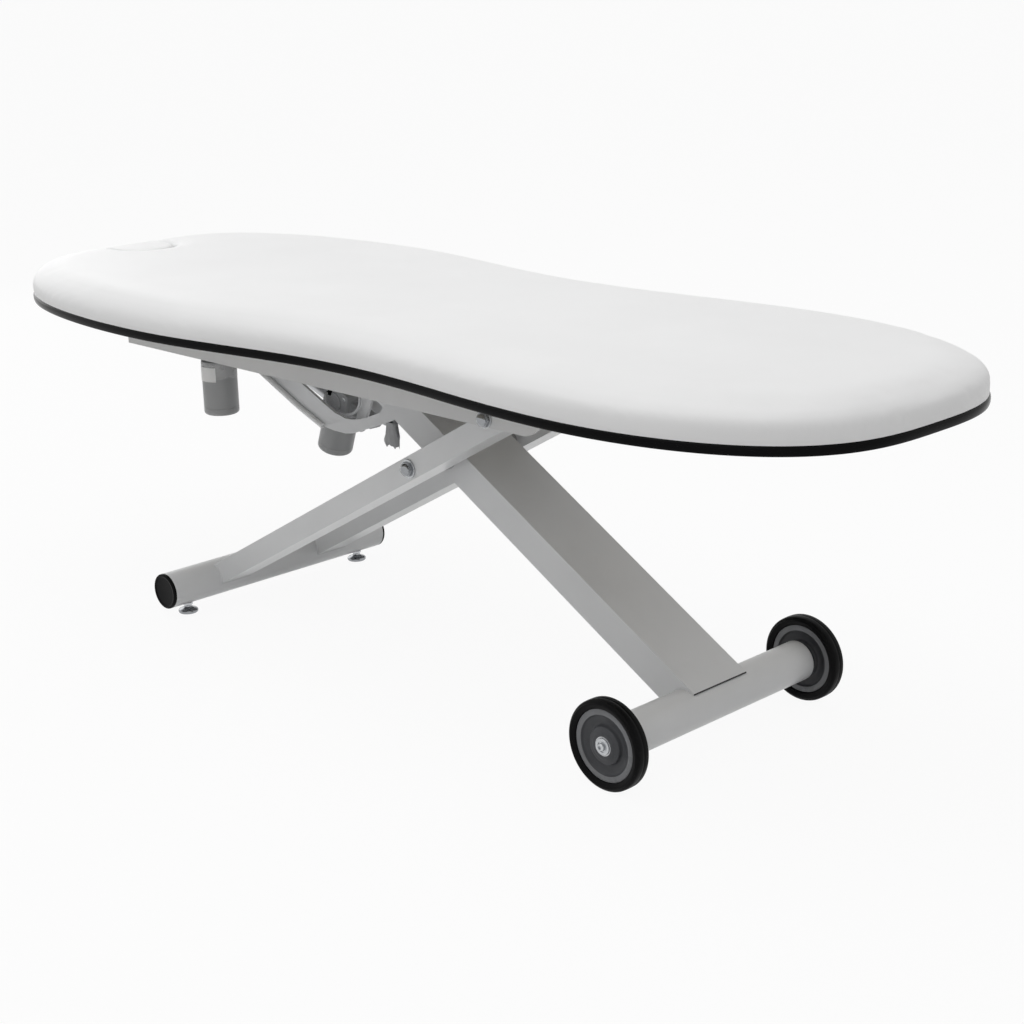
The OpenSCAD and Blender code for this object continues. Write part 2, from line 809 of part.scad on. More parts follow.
module top_bolts() {
    l = rail_y - arm_gap / 2 + 14;
    color(CHROME) for (s = SIDES) bar(bolt_d, l, top_pivot, s * (rail_y - l / 2));
}

module top_spacers() {
    l = rail_y - rail_t - arm_out - skin;
    color(CHROME) for (s = SIDES) ring(bolt_d + 2, bolt_d, l, top_pivot, s * (rail_y - rail_t - l / 2));
}

module top_washers() {
    color(CHROME) for (s = SIDES) bar(washer_d - 4, washer_t, top_pivot, s * (rail_y + washer_t / 2));
}

module top_caps() {
    color(CHROME) for (s = SIDES) cap_nut(top_pivot, s * (rail_y + washer_t), s);
}

module top_nuts() {
    nut_l = 12;
    color(CHROME) for (s = SIDES) difference() {
        hex(bolt_d * 1.5, nut_l, top_pivot, s * (arm_gap / 2 - skin - nut_l / 2));
        bar(bolt_d, nut_l + 2, top_pivot, s * (arm_gap / 2 - skin - nut_l / 2));
    }
}

// ---- board, cushion and plug ----

screw_x = [-600, -440, -180, 160, 290];
screw_y = rail_y - rail_t - flange_w / 2;
screw_deep = 10;
notch_x = -pad_l / 2 + notch_l - notch_w / 2;
hole_x = notch_x + notch_w / 2 - 12 - hole_l / 2;

// A round-ended hole about a point, in plan.
module stadium(x, l, w) {
    hull_l = l - w;
    translate([x - hull_l / 2, -w / 2]) square([hull_l, w]);
    for (dx = [-hull_l / 2, hull_l / 2]) translate([x + dx, 0]) circle(d = w);
}

module base_board() {
    color("tan") difference() {
        translate([0, 0, board_z]) linear_extrude(board_t) difference() {
            polygon(inset(edge, band_t));
            stadium(hole_x, hole_l, hole_w);
        }
        for (s = SIDES, x = screw_x) translate([x, s * screw_y, board_z - 1]) cylinder(d = screw_d, h = screw_deep + 1);
    }
}

module edge_band() {
    color(BLACK) translate([0, 0, board_z]) linear_extrude(board_t) difference() {
        polygon(edge);
        polygon(inset(edge, band_t));
    }
}

module board_screws() {
    head = 3;
    color(CHROME) for (s = SIDES, x = screw_x) translate([x, s * screw_y, board_z - rail_t - head]) {
        cylinder(d = 2 * screw_d, h = head);
        cylinder(d = screw_d, h = head + rail_t + screw_deep);
    }
}

// The cushion's whole form, as rings that follow the outline up over the rounded edge.
module cushion_form() {
    turns = 6;
    low = board_top + skin;
    straight = pad_h - skin - pad_round;
    levels = concat(
        [[0.5, low]],
        [for (i = [0:turns]) let (a = 90 * i / turns)
            [0.5 + pad_round * (1 - cos(a)), low + straight + pad_round * sin(a)]]
    );
    rings = [for (v = levels) [for (p = inset(edge, v[0])) [p[0], p[1], v[1]]]];
    n = len(edge);
    m = len(levels);
    walls = [for (k = [0:m - 2], i = [0:n - 1], h = [0, 1])
        let (a = k * n + i, b = k * n + (i + 1) % n)
        h == 0 ? [a, b, b + n] : [a, b + n, a + n]];
    polyhedron(
        points = [for (r = rings) each r],
        faces = concat([[for (i = [n - 1:-1:0]) i]], walls, [[for (i = [0:n - 1]) (m - 1) * n + i]])
    );
}

// The face cut-out in plan, g smaller all round than the cut itself.
module face_cut(g) {
    w = notch_w - 2 * g;
    x0 = -pad_l / 2 - 1;
    translate([x0, -w / 2]) square([notch_x - x0, w]);
    translate([notch_x, 0]) circle(d = w);
}

module pad() {
    color("white") difference() {
        cushion_form();
        translate([0, 0, board_top - 1]) linear_extrude(pad_h + 2) face_cut(0);
    }
}

module plug_cushion() {
    color("white") intersection() {
        cushion_form();
        translate([0, 0, board_top - 1]) linear_extrude(pad_h + 2) face_cut(plug_gap);
    }
}

module plug_foot() {
    gap = 1;
    color("tan") translate([0, 0, board_top - plug_foot_t]) linear_extrude(plug_foot_t)
        stadium(hole_x, hole_l - 2 * gap, hole_w - 2 * gap);
}

// ---- tilted actuator's own lead ----

// Places along the lead's middle line. It leaves the gearbox's side and goes back in at its top.
tilt_lead_d = 5;
tilt_lead_points = [
    [-303, -25.2, 449], [-303, -32, 449], [-302, -38, 446], [-297, -41, 438], [-288, -42, 430],
    [-276, -42, 424], [-262, -42, 421], [-248, -42, 420], [-234, -42, 421], [-221, -42, 424],
    [-210, -42, 430], [-202, -42, 438], [-197, -42, 448], [-196, -42, 460], [-199, -42, 472],
    [-207, -42, 483], [-218, -41, 492], [-232, -40, 499], [-247, -38, 502], [-261, -35, 500],
    [-273, -31, 495], [-283, -25, 488], [-289, -19, 481], [-291.5, -15, 474.3], [-295.6, -15, 463]
];

// Rings across the middle line, each turned from the one before as little as can be.
function turned(n, t) = unit(n - (n * t) * t);
function ring_at(p, n, t) =
    let (b = cross(t, n)) [for (i = [0:7]) p + tilt_lead_d / 2 * (cos(45 * i) * n + sin(45 * i) * b)];
function heading(p, i) = unit(p[min(i + 1, len(p) - 1)] - p[max(i - 1, 0)]);
function rings(p, i = 0, n = [0, 0, 1]) =
    i == len(p) ? []
    : let (t = heading(p, i), m = turned(n, t)) concat([ring_at(p[i], m, t)], rings(p, i + 1, m));

module tilt_lead() {
    all = rings(tilt_lead_points);
    last = len(all) - 1;
    color(BLACK) polyhedron(
        points = [for (r = all) each r],
        faces = concat(
            [[for (i = [0:7]) i]],
            [for (k = [0:last - 1], i = [0:7], h = [0, 1])
                let (a = 8 * k + i, b = 8 * k + (i + 1) % 8)
                h == 0 ? [a, a + 8, b + 8] : [a, b + 8, b]],
            [[for (i = [7:-1:0]) 8 * last + i]]
        )
    );
}

// ---- folded lead ----

peg = slide + [57, -91];
hank_y = -slider_y + slider_t / 2 + skin + hank_t / 2 + 1;

module lead_peg() {
    l = hank_t + 5;
    color(CHROME) bar(peg_d, l, peg, -slider_y + slider_t / 2 + l / 2);
}

// The hank's outline: a small round end on the peg and a large one below it.
function teardrop(top, r0, low, r1) =
    let (tilt = asin((r1 - r0) / (top[1] - low[1])))
    concat(arc(top, r0, tilt, 180 - tilt, 16), arc(low, r1, 180 - tilt, 360 + tilt, 24));

hank_top = peg[1] + peg_d / 2 + 5;
module lead_hank() {
    r = hank_w / 2;
    color(BLACK) plate(hank_t, hank_y) difference() {
        polygon(teardrop([peg[0], hank_top - hank_top_r], hank_top_r, [peg[0], hank_top - hank_h + r], r));
        translate(peg) circle(d = peg_d + 2 * skin);
    }
}

module lead_plug() {
    h = 16;
    color(BLACK) translate([peg[0], hank_y + hank_t + 0.2, hank_top - hank_h]) cylinder(d = hank_t, h = h);
}

foot_disc(NEAR);  // foot_disc_near
foot_disc(FAR);  // foot_disc_far
foot_stems();
foot_lock_nuts();
front_tube();
front_caps();
outer_arm(NEAR);  // outer_arm_near
outer_arm(FAR);  // outer_arm_far
box_beam();
rear_tube();
stub_axles();
axle_washers();
axle_screws();
scissor_shaft();
scissor_spacers();
scissor_washers();
scissor_caps();
slide_shaft();
lever_plates();
lever_pin();
tyre(NEAR);  // tyre_near
rim(NEAR);  // rim_near
bearing(NEAR);  // bearing_near
tyre(FAR);  // tyre_far
rim(FAR);  // rim_far
bearing(FAR);  // bearing_far
rollers(slide);  // slide_rollers
rollers(rear);  // rear_rollers
slider_plate(NEAR);  // slider_plate_near
slider_plate(FAR);  // slider_plate_far
rear_shaft();
tilt_rod();
drop_rod();
lead_peg();
lead_hank();
lead_plug();
tilt_gearbox();
tilt_motor();
tilt_sleeve();
tilt_lead();
side_rail(NEAR);  // side_rail_near
side_rail(FAR);  // side_rail_far
cross_members();
guide_plates();
drop_gearbox();
drop_motor();
drop_sleeve();
drop_bracket();
control_box();
top_bolts();
top_spacers();
top_washers();
top_caps();
top_nuts();
base_board();
edge_band();
board_screws();
pad();
plug_cushion();
plug_foot();
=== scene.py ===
"""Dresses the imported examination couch: upholstery, painted frame, wheels, actuators, studio."""

import logging
import math
from dataclasses import dataclass
from enum import Enum, auto
from typing import Any, Callable, Sequence

import bmesh
import bpy
from mathutils import Matrix, Vector


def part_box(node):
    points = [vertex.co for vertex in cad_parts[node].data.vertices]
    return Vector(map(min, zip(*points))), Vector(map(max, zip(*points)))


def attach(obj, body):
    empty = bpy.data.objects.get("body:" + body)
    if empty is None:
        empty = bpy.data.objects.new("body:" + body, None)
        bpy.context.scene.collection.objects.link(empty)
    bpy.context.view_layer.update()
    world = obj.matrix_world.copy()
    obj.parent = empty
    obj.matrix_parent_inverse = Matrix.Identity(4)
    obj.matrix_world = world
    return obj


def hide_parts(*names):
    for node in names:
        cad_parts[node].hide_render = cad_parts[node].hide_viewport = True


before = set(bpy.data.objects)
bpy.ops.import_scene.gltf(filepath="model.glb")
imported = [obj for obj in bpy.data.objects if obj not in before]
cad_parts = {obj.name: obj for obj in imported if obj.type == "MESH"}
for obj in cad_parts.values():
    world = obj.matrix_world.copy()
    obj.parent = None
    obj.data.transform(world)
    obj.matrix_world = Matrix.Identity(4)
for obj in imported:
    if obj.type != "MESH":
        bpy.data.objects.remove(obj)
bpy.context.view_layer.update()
LOG = logging.getLogger("couch")
MM = 0.001
# The cross tubes' axes, as X and Z in millimetres.
AXLE = (616.0, 75.0)
FRONT = (-548.0, 55.5)
WHEEL_Y = 246.5
# Which way each side of the couch lies along Y.
SIDES = {"near": -1, "far": 1}
# Most of a noise's values lie in this span.
CLOUDS = {"From Min": 0.3, "From Max": 0.7}
Pair = tuple[float, float]
Point = tuple[float, float, float]
Piece = bpy.types.Object
Socket = bpy.types.NodeSocket
Tree = bpy.types.NodeTree


# ---- finishes ----


def linear(code: str) -> tuple[float, float, float, float]:
    """Turns an sRGB hex colour to linear light.

    Args:
        code: Six hex digits, such as "C8C9CA".

    Returns:
        Linear red, green and blue, and an alpha of 1.
    """
    parts = [int(code[i : i + 2], 16) / 255 for i in (0, 2, 4)]
    red, green, blue = (p / 12.92 if p <= 0.04045 else ((p + 0.055) / 1.055) ** 2.4 for p in parts)
    return red, green, blue, 1.0


def per_metre(size_mm: float) -> float:
    """Gives the texture scale at which one cell of a pattern is size_mm across."""
    return 1000.0 / size_mm


def add_node(
    tree: Tree,
    kind: str,
    settings: dict[Any, Any] | None = None,
    links: dict[Any, Socket] | None = None,
) -> bpy.types.Node:
    """Adds a shader node with its settings and what feeds it.

    Args:
        tree: The material's node tree.
        kind: The node's type name.
        settings: Values by input name, input number or property name.
        links: The output that feeds each named or numbered input.

    Returns:
        The new node.
    """
    node = tree.nodes.new(kind)
    for name, value in (settings or {}).items():
        if isinstance(name, int) or name in node.inputs:
            node.inputs[name].default_value = value
        else:
            setattr(node, name, value)
    for name, source in (links or {}).items():
        tree.links.new(source, node.inputs[name])
    return node


def emptied(owner: bpy.types.Material | bpy.types.World) -> Tree:
    """Empties a new material's or world's node tree.

    Args:
        owner: The material or world.

    Returns:
        Its node tree, with nothing in it.
    """
    owner.use_nodes = True
    owner.node_tree.nodes.clear()
    return owner.node_tree


@dataclass
class Ground:
    """What a finish's patterns are drawn on: the tree, the object's coordinates, slow clouds."""

    tree: Tree
    place: Socket
    cloud: Socket


@dataclass(frozen=True)
class Finish:
    """A surface as its maker would name it, with the values that every finish shares."""

    name: str
    light: str
    dark: str
    roughness: float
    spread: float = 0.04
    metallic: float = 0.0
    ior: float = 1.5
    cloud_mm: float = 160.0
    grain_mm: float = 1.0
    grain_deep_mm: float = 0.02
    wave_mm: float = 80.0
    wave_deep_mm: float = 0.0
    alpha: float = 1.0

    def build(self) -> bpy.types.Material:
        """Builds the material: clouded colour and gloss, with grain and waves in its normals.

        Returns:
            The new material.
        """
        material = bpy.data.materials.new(self.name)
        tree = emptied(material)
        place = add_node(tree, "ShaderNodeTexCoord").outputs["Object"]
        cloud = add_node(
            tree, "ShaderNodeTexNoise",
            {"Scale": per_metre(self.cloud_mm), "Detail": 3.0}, {"Vector": place},
        ).outputs["Fac"]  # fmt: skip
        ground = Ground(tree, place, cloud)
        low, high = self.roughness - self.spread, self.roughness + self.spread
        gloss = add_node(
            tree, "ShaderNodeMapRange", {**CLOUDS, "To Min": low, "To Max": high}, {"Value": cloud}
        )
        links = {
            "Base Color": self.colour(ground),
            "Roughness": gloss.outputs["Result"],
            "Normal": self.relief(ground),
        }
        settings = {"Metallic": self.metallic, "IOR": self.ior, "Alpha": self.alpha}
        shader = add_node(tree, "ShaderNodeBsdfPrincipled", settings, links)
        add_node(tree, "ShaderNodeOutputMaterial", links={"Surface": shader.outputs["BSDF"]})
        return material

    def colour(self, ground: Ground) -> Socket:
        """Mixes the finish's two shades over its clouds.

        Args:
            ground: The tree and its coordinates.

        Returns:
            The colour.
        """
        share = add_node(ground.tree, "ShaderNodeMapRange", CLOUDS, {"Value": ground.cloud})
        shades = {"data_type": "RGBA", 6: linear(self.dark), 7: linear(self.light)}
        links = {0: share.outputs["Result"]}
        return add_node(ground.tree, "ShaderNodeMix", shades, links).outputs[2]

    def relief(self, ground: Ground) -> Socket:
        """Makes the surface's relief: a fine grain on slow waves.

        Args:
            ground: The tree and its coordinates.

        Returns:
            The normal.
        """
        wave = add_node(
            ground.tree, "ShaderNodeTexNoise",
            {"Scale": per_metre(self.wave_mm), "Detail": 1.0}, {"Vector": ground.place},
        )  # fmt: skip
        slow = add_node(
            ground.tree, "ShaderNodeBump",
            {"Distance": self.wave_deep_mm * MM, "Strength": 1.0}, {"Height": wave.outputs["Fac"]},
        )  # fmt: skip
        return add_node(
            ground.tree, "ShaderNodeBump",
            {"Distance": self.grain_deep_mm * MM, "Strength": 1.0},
            {"Height": self.grain(ground), "Normal": slow.outputs["Normal"]},
        ).outputs["Normal"]  # fmt: skip

    def grain(self, ground: Ground) -> Socket:
        """Makes the grain's height, a plain fine noise unless a finish says otherwise."""
        return add_node(
            ground.tree, "ShaderNodeTexNoise",
            {"Scale": per_metre(self.grain_mm), "Detail": 2.0}, {"Vector": ground.place},
        ).outputs["Fac"]  # fmt: skip


@dataclass(frozen=True)
class Pebbled(Finish):
    """A calendered skin with a pebble grain, as on coated upholstery."""

    def grain(self, ground: Ground) -> Socket:
        """Makes rounded pebbles with creases between them."""
        return add_node(
            ground.tree, "ShaderNodeTexVoronoi",
            {"Scale": per_metre(self.grain_mm), "feature": "SMOOTH_F1", "Smoothness": 0.6},
            {"Vector": ground.place},
        ).outputs["Distance"]  # fmt: skip


@dataclass(frozen=True)
class Turned(Finish):
    """Metal that was turned or ground, so that fine marks run round its axis along Y."""

    def grain(self, ground: Ground) -> Socket:
        """Makes marks that are thin along Y and long across it.

        Args:
            ground: The tree and its coordinates.

        Returns:
            The height.
        """
        stretched = add_node(
            ground.tree, "ShaderNodeMapping", {"Scale": (0.05, 1.0, 0.05)},
            {"Vector": ground.place},
        )  # fmt: skip
        return add_node(
            ground.tree, "ShaderNodeTexNoise",
            {"Scale": per_metre(self.grain_mm), "Detail": 3.0},
            {"Vector": stretched.outputs["Vector"]},
        ).outputs["Fac"]  # fmt: skip


@dataclass(frozen=True)
class Plywood(Finish):
    """Lacquered plywood, with its face grain along the couch."""

    def colour(self, ground: Ground) -> Socket:
        """Draws long flowing grain lines between the two shades.

        Args:
            ground: The tree and its coordinates.

        Returns:
            The colour.
        """
        tree = ground.tree
        stretched = add_node(
            tree, "ShaderNodeMapping", {"Scale": (0.06, 1.0, 1.0)}, {"Vector": ground.place}
        ).outputs["Vector"]
        # The wave node draws a band every 2 pi units, and the rings stand 26 mm apart.
        bands = {
            "bands_direction": "Y", "Scale": per_metre(26.0) / 6.3, "Distortion": 7.0,
            "Detail": 4.0, "Detail Scale": 1.6,
        }  # fmt: skip
        rings = add_node(tree, "ShaderNodeTexWave", bands, {"Vector": stretched})
        pores = add_node(
            tree, "ShaderNodeTexNoise", {"Scale": per_metre(1.6), "Detail": 2.0},
            {"Vector": stretched},
        )  # fmt: skip
        both = add_node(
            tree, "ShaderNodeMath", {"operation": "MULTIPLY"},
            {0: rings.outputs["Fac"], 1: pores.outputs["Fac"]},
        )  # fmt: skip
        shades = {"data_type": "RGBA", 6: linear(self.light), 7: linear(self.dark)}
        return add_node(tree, "ShaderNodeMix", shades, {0: both.outputs["Value"]}).outputs[2]


class Kit(Enum):
    """Every finish on the couch."""

    # Polyurethane-coated upholstery, calendered: a smooth white skin with a soft, broad sheen.
    UPHOLSTERY = Pebbled(
        "upholstery_coated_white", "F4F4F4", "F0F0F0", 0.46, 0.03,
        grain_mm=1.3, grain_deep_mm=0.03, wave_mm=95.0, wave_deep_mm=0.6, cloud_mm=240.0,
    )  # fmt: skip
    # Powder coat on steel, oven cured: satin off-white with a faint orange peel.
    POWDER_COAT = Finish(
        "powder_coat_pale_grey", "E6E7E8", "E0E1E2", 0.34, 0.03,
        grain_mm=1.6, grain_deep_mm=0.04, wave_mm=60.0, wave_deep_mm=0.12,
    )  # fmt: skip
    # The same powder coat, a shade deeper as painted shade: the rails under the board, which lie
    # in its shadow.
    RAIL_PAINTED_SHADE = Finish(
        "powder_coat_painted_shade", "D8D9DA", "D2D3D4", 0.36, 0.03,
        grain_mm=1.6, grain_deep_mm=0.04, wave_mm=60.0, wave_deep_mm=0.12,
    )  # fmt: skip
    # A lighter copy of the frame's powder coat on the slider plates' turned edges: painted light
    # that makes them show bright.
    EDGE_PAINTED_LIGHT = Finish(
        "powder_coat_edge_painted_light", "FAFAFA", "F6F6F6", 0.34, 0.03,
        grain_mm=1.6, grain_deep_mm=0.03, wave_mm=60.0, wave_deep_mm=0.1,
    )  # fmt: skip
    # Weld bead under the powder coat: the same paint over small even ripples.
    WELD = Finish(
        "powder_coat_over_weld", "E0E1E2", "D6D7D8", 0.36, 0.03,
        grain_mm=2.4, grain_deep_mm=0.25,
    )  # fmt: skip
    # Open seam between two folded sheets, drawn as a dark strip: painted shadow of the gap that no
    # light gets into.
    SEAM_SHADOW = Finish("steel_seam_painted_shadow", "3A3A3B", "2E2E2F", 0.7, 0.04, grain_mm=1.0)
    # ABS edging, extruded: satin black, so it mirrors the room in soft long streaks.
    EDGING = Finish(
        "edging_abs_satin_black", "060607", "040405", 0.2, 0.02, ior=1.15,
        grain_mm=3.0, grain_deep_mm=0.01, wave_mm=70.0, wave_deep_mm=0.08,
    )  # fmt: skip
    # Polyethylene, injection moulded: soft black with a fine spark grain.
    BLACK_PLASTIC = Finish(
        "polyethylene_moulded_black", "0C0C0D", "080809", 0.42, 0.05, ior=1.16,
        grain_mm=1.4, grain_deep_mm=0.1,
    )  # fmt: skip
    # Thermoplastic rubber, moulded: a near-black tread with a dull sheen.
    TYRE = Finish(
        "rubber_moulded_black", "0A0A0B", "070708", 0.48, 0.06, ior=1.17,
        grain_mm=1.4, grain_deep_mm=0.05, cloud_mm=40.0,
    )  # fmt: skip
    # Polypropylene, injection moulded: dark grey wheel centre, satin.
    WHEEL_CENTRE = Finish(
        "polypropylene_moulded_grey", "4F5053", "454649", 0.4, 0.05, ior=1.3,
        grain_mm=1.0, grain_deep_mm=0.04, cloud_mm=60.0,
    )  # fmt: skip
    # The same polypropylene in a lighter grey, painted light on the flat ring, with a closer
    # sheen.
    WHEEL_RING_PAINTED_LIGHT = Finish(
        "polypropylene_grey_painted_light", "7E7F82", "767779", 0.3, 0.04, ior=1.36,
        grain_mm=1.0, grain_deep_mm=0.02, cloud_mm=60.0,
    )  # fmt: skip
    # Steel, zinc plated and clear passivated: cool grey metal with a soft bloom.
    ZINC = Finish(
        "steel_zinc_plated", "C4C6C8", "B2B4B7", 0.28, 0.07, metallic=1.0,
        grain_mm=1.2, grain_deep_mm=0.02, cloud_mm=9.0,
    )  # fmt: skip
    # Steel, polished and chromium plated: a clean mirror with a faint haze.
    CHROME = Finish(
        "steel_chromium_plated", "97999C", "8D8F92", 0.12, 0.03, metallic=1.0,
        grain_mm=2.0, grain_deep_mm=0.004, cloud_mm=12.0,
    )  # fmt: skip
    # Bright drawn steel, ground: fine marks round the shaft break up its reflections.
    GROUND_STEEL = Turned(
        "steel_bright_ground", "C2C3C5", "B6B7B9", 0.24, 0.05, metallic=1.0,
        grain_mm=1.0, grain_deep_mm=0.012, cloud_mm=20.0,
    )  # fmt: skip
    # Aluminium, drawn and anodised: pale matt metal.
    ANODISED = Finish(
        "aluminium_anodised", "B9BABC", "AFB0B2", 0.36, 0.04, metallic=1.0,
        grain_mm=0.8, grain_deep_mm=0.02, cloud_mm=30.0,
    )  # fmt: skip
    # Motor casing, deep-drawn steel under stoved enamel: mid grey, satin.
    MOTOR = Finish(
        "enamel_on_steel_grey", "A6A7A8", "9FA0A1", 0.4, 0.04,
        grain_mm=1.3, grain_deep_mm=0.04, cloud_mm=70.0,
    )  # fmt: skip
    # Gearbox casing, glass-filled nylon, moulded: grey with a coarser spark grain.
    GEARBOX = Finish(
        "nylon_moulded_grey", "B2B3B5", "A7A8AA", 0.46, 0.05,
        grain_mm=1.3, grain_deep_mm=0.08, cloud_mm=50.0,
    )  # fmt: skip
    # PVC sheath, extruded: light grey lead, slightly greasy sheen.
    SHEATH = Finish(
        "pvc_extruded_light_grey", "D0D1D3", "C6C7C9", 0.36, 0.05,
        grain_mm=1.5, grain_deep_mm=0.03, cloud_mm=30.0,
    )  # fmt: skip
    # PVC sheath, extruded: the light grey of a folded low-voltage lead.
    LEAD = Finish(
        "pvc_extruded_mid_grey", "969799", "8B8C8E", 0.4, 0.05,
        grain_mm=1.5, grain_deep_mm=0.03, cloud_mm=30.0,
    )  # fmt: skip
    # Polypropylene tape, clear: a thin glossy film that has wrinkled round the casing.
    TAPE = Finish(
        "polypropylene_tape_clear", "F2F2F2", "E6E6E6", 0.16, 0.05, alpha=0.3,
        grain_mm=3.5, grain_deep_mm=0.5, cloud_mm=12.0,
    )  # fmt: skip
    # Polyethylene film, grey: a soft satin wrap, creased where it is gathered.
    FILM = Finish(
        "polyethylene_film_grey", "A9AAAC", "9D9EA0", 0.34, 0.06,
        grain_mm=2.6, grain_deep_mm=0.25, wave_mm=9.0, wave_deep_mm=0.6, cloud_mm=12.0,
    )  # fmt: skip
    # Paper label, plain: matt white, with nothing printed on it.
    LABEL = Finish(
        "label_paper_white", "F4F4F3", "EEEEED", 0.5, 0.03,
        grain_mm=0.8, grain_deep_mm=0.02,
    )  # fmt: skip
    # Birch plywood, lacquered: pale wood with long grain, the board under the cushion.
    PLYWOOD = Plywood(
        "plywood_birch_lacquered", "C6BFB2", "B1A999", 0.38, 0.05,
        grain_mm=2.2, grain_deep_mm=0.03,
    )  # fmt: skip


MADE: dict[Kit, bpy.types.Material] = {}


def material_of(kit: Kit) -> bpy.types.Material:
    """Gives a finish's material and builds it the first time.

    Args:
        kit: The finish.

    Returns:
        The material.
    """
    if kit not in MADE:
        MADE[kit] = kit.value.build()
    return MADE[kit]


# ---- mesh helpers ----


class Close(Enum):
    """How a skin over rings is closed."""

    OPEN = auto()
    FIRST = auto()
    BOTH = auto()
    LOOP = auto()


def put(name: str, data: bpy.types.ID) -> Piece:
    """Puts data into the scene as a new object.

    Args:
        name: The object's name.
        data: Its mesh, curve, light or camera.

    Returns:
        The object.
    """
    piece = bpy.data.objects.new(name, data)
    bpy.context.scene.collection.objects.link(piece)
    return piece


def opened(mesh: bpy.types.Mesh) -> bmesh.types.BMesh:
    """Opens a mesh for editing.

    Args:
        mesh: The mesh.

    Returns:
        Its editable copy.
    """
    work = bmesh.new()
    work.from_mesh(mesh)
    return work


def closed(work: bmesh.types.BMesh, mesh: bpy.types.Mesh) -> None:
    """Writes an edited mesh back."""
    work.to_mesh(mesh)
    work.free()


def everything(work: bmesh.types.BMesh) -> list[Any]:
    """Gives all corners, edges and faces of an open mesh."""
    return [*work.verts, *work.edges, *work.faces]


def coat(piece: Piece, kit: Kit) -> None:
    """Gives the whole piece one finish."""
    piece.data.materials.clear()
    piece.data.materials.append(material_of(kit))


def mesh_piece(
    name: str, points: Sequence[Sequence[float]], faces: Sequence[Sequence[int]], kit: Kit
) -> Piece:
    """Makes an object from points and faces.

    Args:
        name: The object's name.
        points: Corners, in millimetres.
        faces: Corner numbers of each face.
        kit: The finish it gets.

    Returns:
        The new object, in the scene.
    """
    mesh = bpy.data.meshes.new(name)
    mesh.from_pydata([tuple(v * MM for v in p) for p in points], [], faces)
    mesh.validate()
    piece = put(name, mesh)
    coat(piece, kit)
    return piece


def skin(name: str, rings: Sequence[Sequence[Point]], kit: Kit, close: Close) -> Piece:
    """Skins rings of equal length with one surface.

    Args:
        name: The object's name.
        rings: The rings, in order, in millimetres.
        kit: The finish it gets.
        close: Whether the first or both ends get a cap, or the last ring joins the first.

    Returns:
        The new object.
    """
    count, total = len(rings[0]), len(rings)
    faces: list[tuple[int, ...]] = []
    for r in range(total if close is Close.LOOP else total - 1):
        here, there = r * count, (r + 1) % total * count
        for i in range(count):
            k = (i + 1) % count
            faces.append((here + i, here + k, there + k, there + i))
    if close in (Close.FIRST, Close.BOTH):
        faces.append(tuple(range(count)))
    if close is Close.BOTH:
        faces.append(tuple(reversed(range((total - 1) * count, total * count))))
    return mesh_piece(name, [p for ring in rings for p in ring], faces, kit)


def soften(piece: Piece, angle: float = 32.0) -> Piece:
    """Shades a piece smooth, apart from its sharp edges.

    Args:
        piece: The mesh object.
        angle: Edges sharper than this many degrees stay sharp.

    Returns:
        The same object.
    """
    piece.data.shade_smooth()
    piece.data.set_sharp_from_angle(angle=math.radians(angle))
    return piece


def tidy(piece: Piece, weld: float = 0.0) -> Piece:
    """Turns a mesh's faces outwards.

    Args:
        piece: The mesh object.
        weld: Corners closer than this many metres are joined first.

    Returns:
        The same object.
    """
    work = opened(piece.data)
    if weld:
        bmesh.ops.remove_doubles(work, verts=work.verts, dist=weld)
    bmesh.ops.recalc_face_normals(work, faces=work.faces)
    closed(work, piece.data)
    return piece


def bake(piece: Piece) -> Piece:
    """Bakes a piece's modifiers into its mesh.

    Args:
        piece: The mesh object.

    Returns:
        The same object, with no modifiers left.
    """
    graph = bpy.context.evaluated_depsgraph_get()
    baked = bpy.data.meshes.new_from_object(piece.evaluated_get(graph))
    piece.modifiers.clear()
    old = piece.data
    piece.data = baked
    bpy.data.meshes.remove(old)
    return piece


def modify(piece: Piece, kind: str, **settings: Any) -> Piece:
    """Gives a piece a modifier and bakes it in.

    Args:
        piece: The mesh object.
        kind: The modifier's type.
        **settings: Its settings by name.

    Returns:
        The same object, with no modifiers left.
    """
    modifier = piece.modifiers.new(kind.lower(), kind)
    for name, value in settings.items():
        setattr(modifier, name, value)
    return bake(piece)


def surface(mesh: bpy.types.Mesh) -> float:
    """Gives the area in square metres of a mesh cut into triangles."""
    mesh.calc_loop_triangles()
    return sum(triangle.area for triangle in mesh.loop_triangles)


def bevelled(node: str, width_mm: float, segments: int, splits: int) -> Piece:
    """Copies a CAD node's mesh, joins its flat faces and rounds its edges.

    Args:
        node: The CAD node.
        width_mm: How far the rounding reaches from each edge.
        segments: Steps across each rounding.
        splits: Cuts across the flat faces, which keep each of them simple.

    Returns:
        The new object.
    """
    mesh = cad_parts[node].data.copy()
    piece = put(f"{node}_dressed", mesh)
    work = opened(mesh)
    bmesh.ops.remove_doubles(work, verts=work.verts, dist=1e-5)
    flat = math.radians(0.5)
    bmesh.ops.dissolve_limit(work, angle_limit=flat, verts=work.verts, edges=work.edges)
    low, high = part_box(node)
    for i in range(splits):
        x = low[0] + (high[0] - low[0]) * (i + 1) / (splits + 1)
        bmesh.ops.bisect_plane(work, geom=everything(work), plane_co=(x, 0, 0), plane_no=(1, 0, 0))
    closed(work, mesh)
    return modify(
        piece, "BEVEL", width=width_mm * MM, segments=segments, limit_method="ANGLE",
        angle_limit=math.radians(40), use_clamp_overlap=True, harden_normals=False,
        miter_outer="MITER_ARC",
    )  # fmt: skip


def seat(piece: Piece, body: str, node: str | None = None) -> None:
    """Puts a finished piece on its body.

    Args:
        piece: The piece.
        body: The CAD body that it rides on.
        node: The CAD node that it stands for, if any.
    """
    if node:
        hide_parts(node)
    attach(piece, body)
    LOG.info("%s rides on %s", piece.name, body)


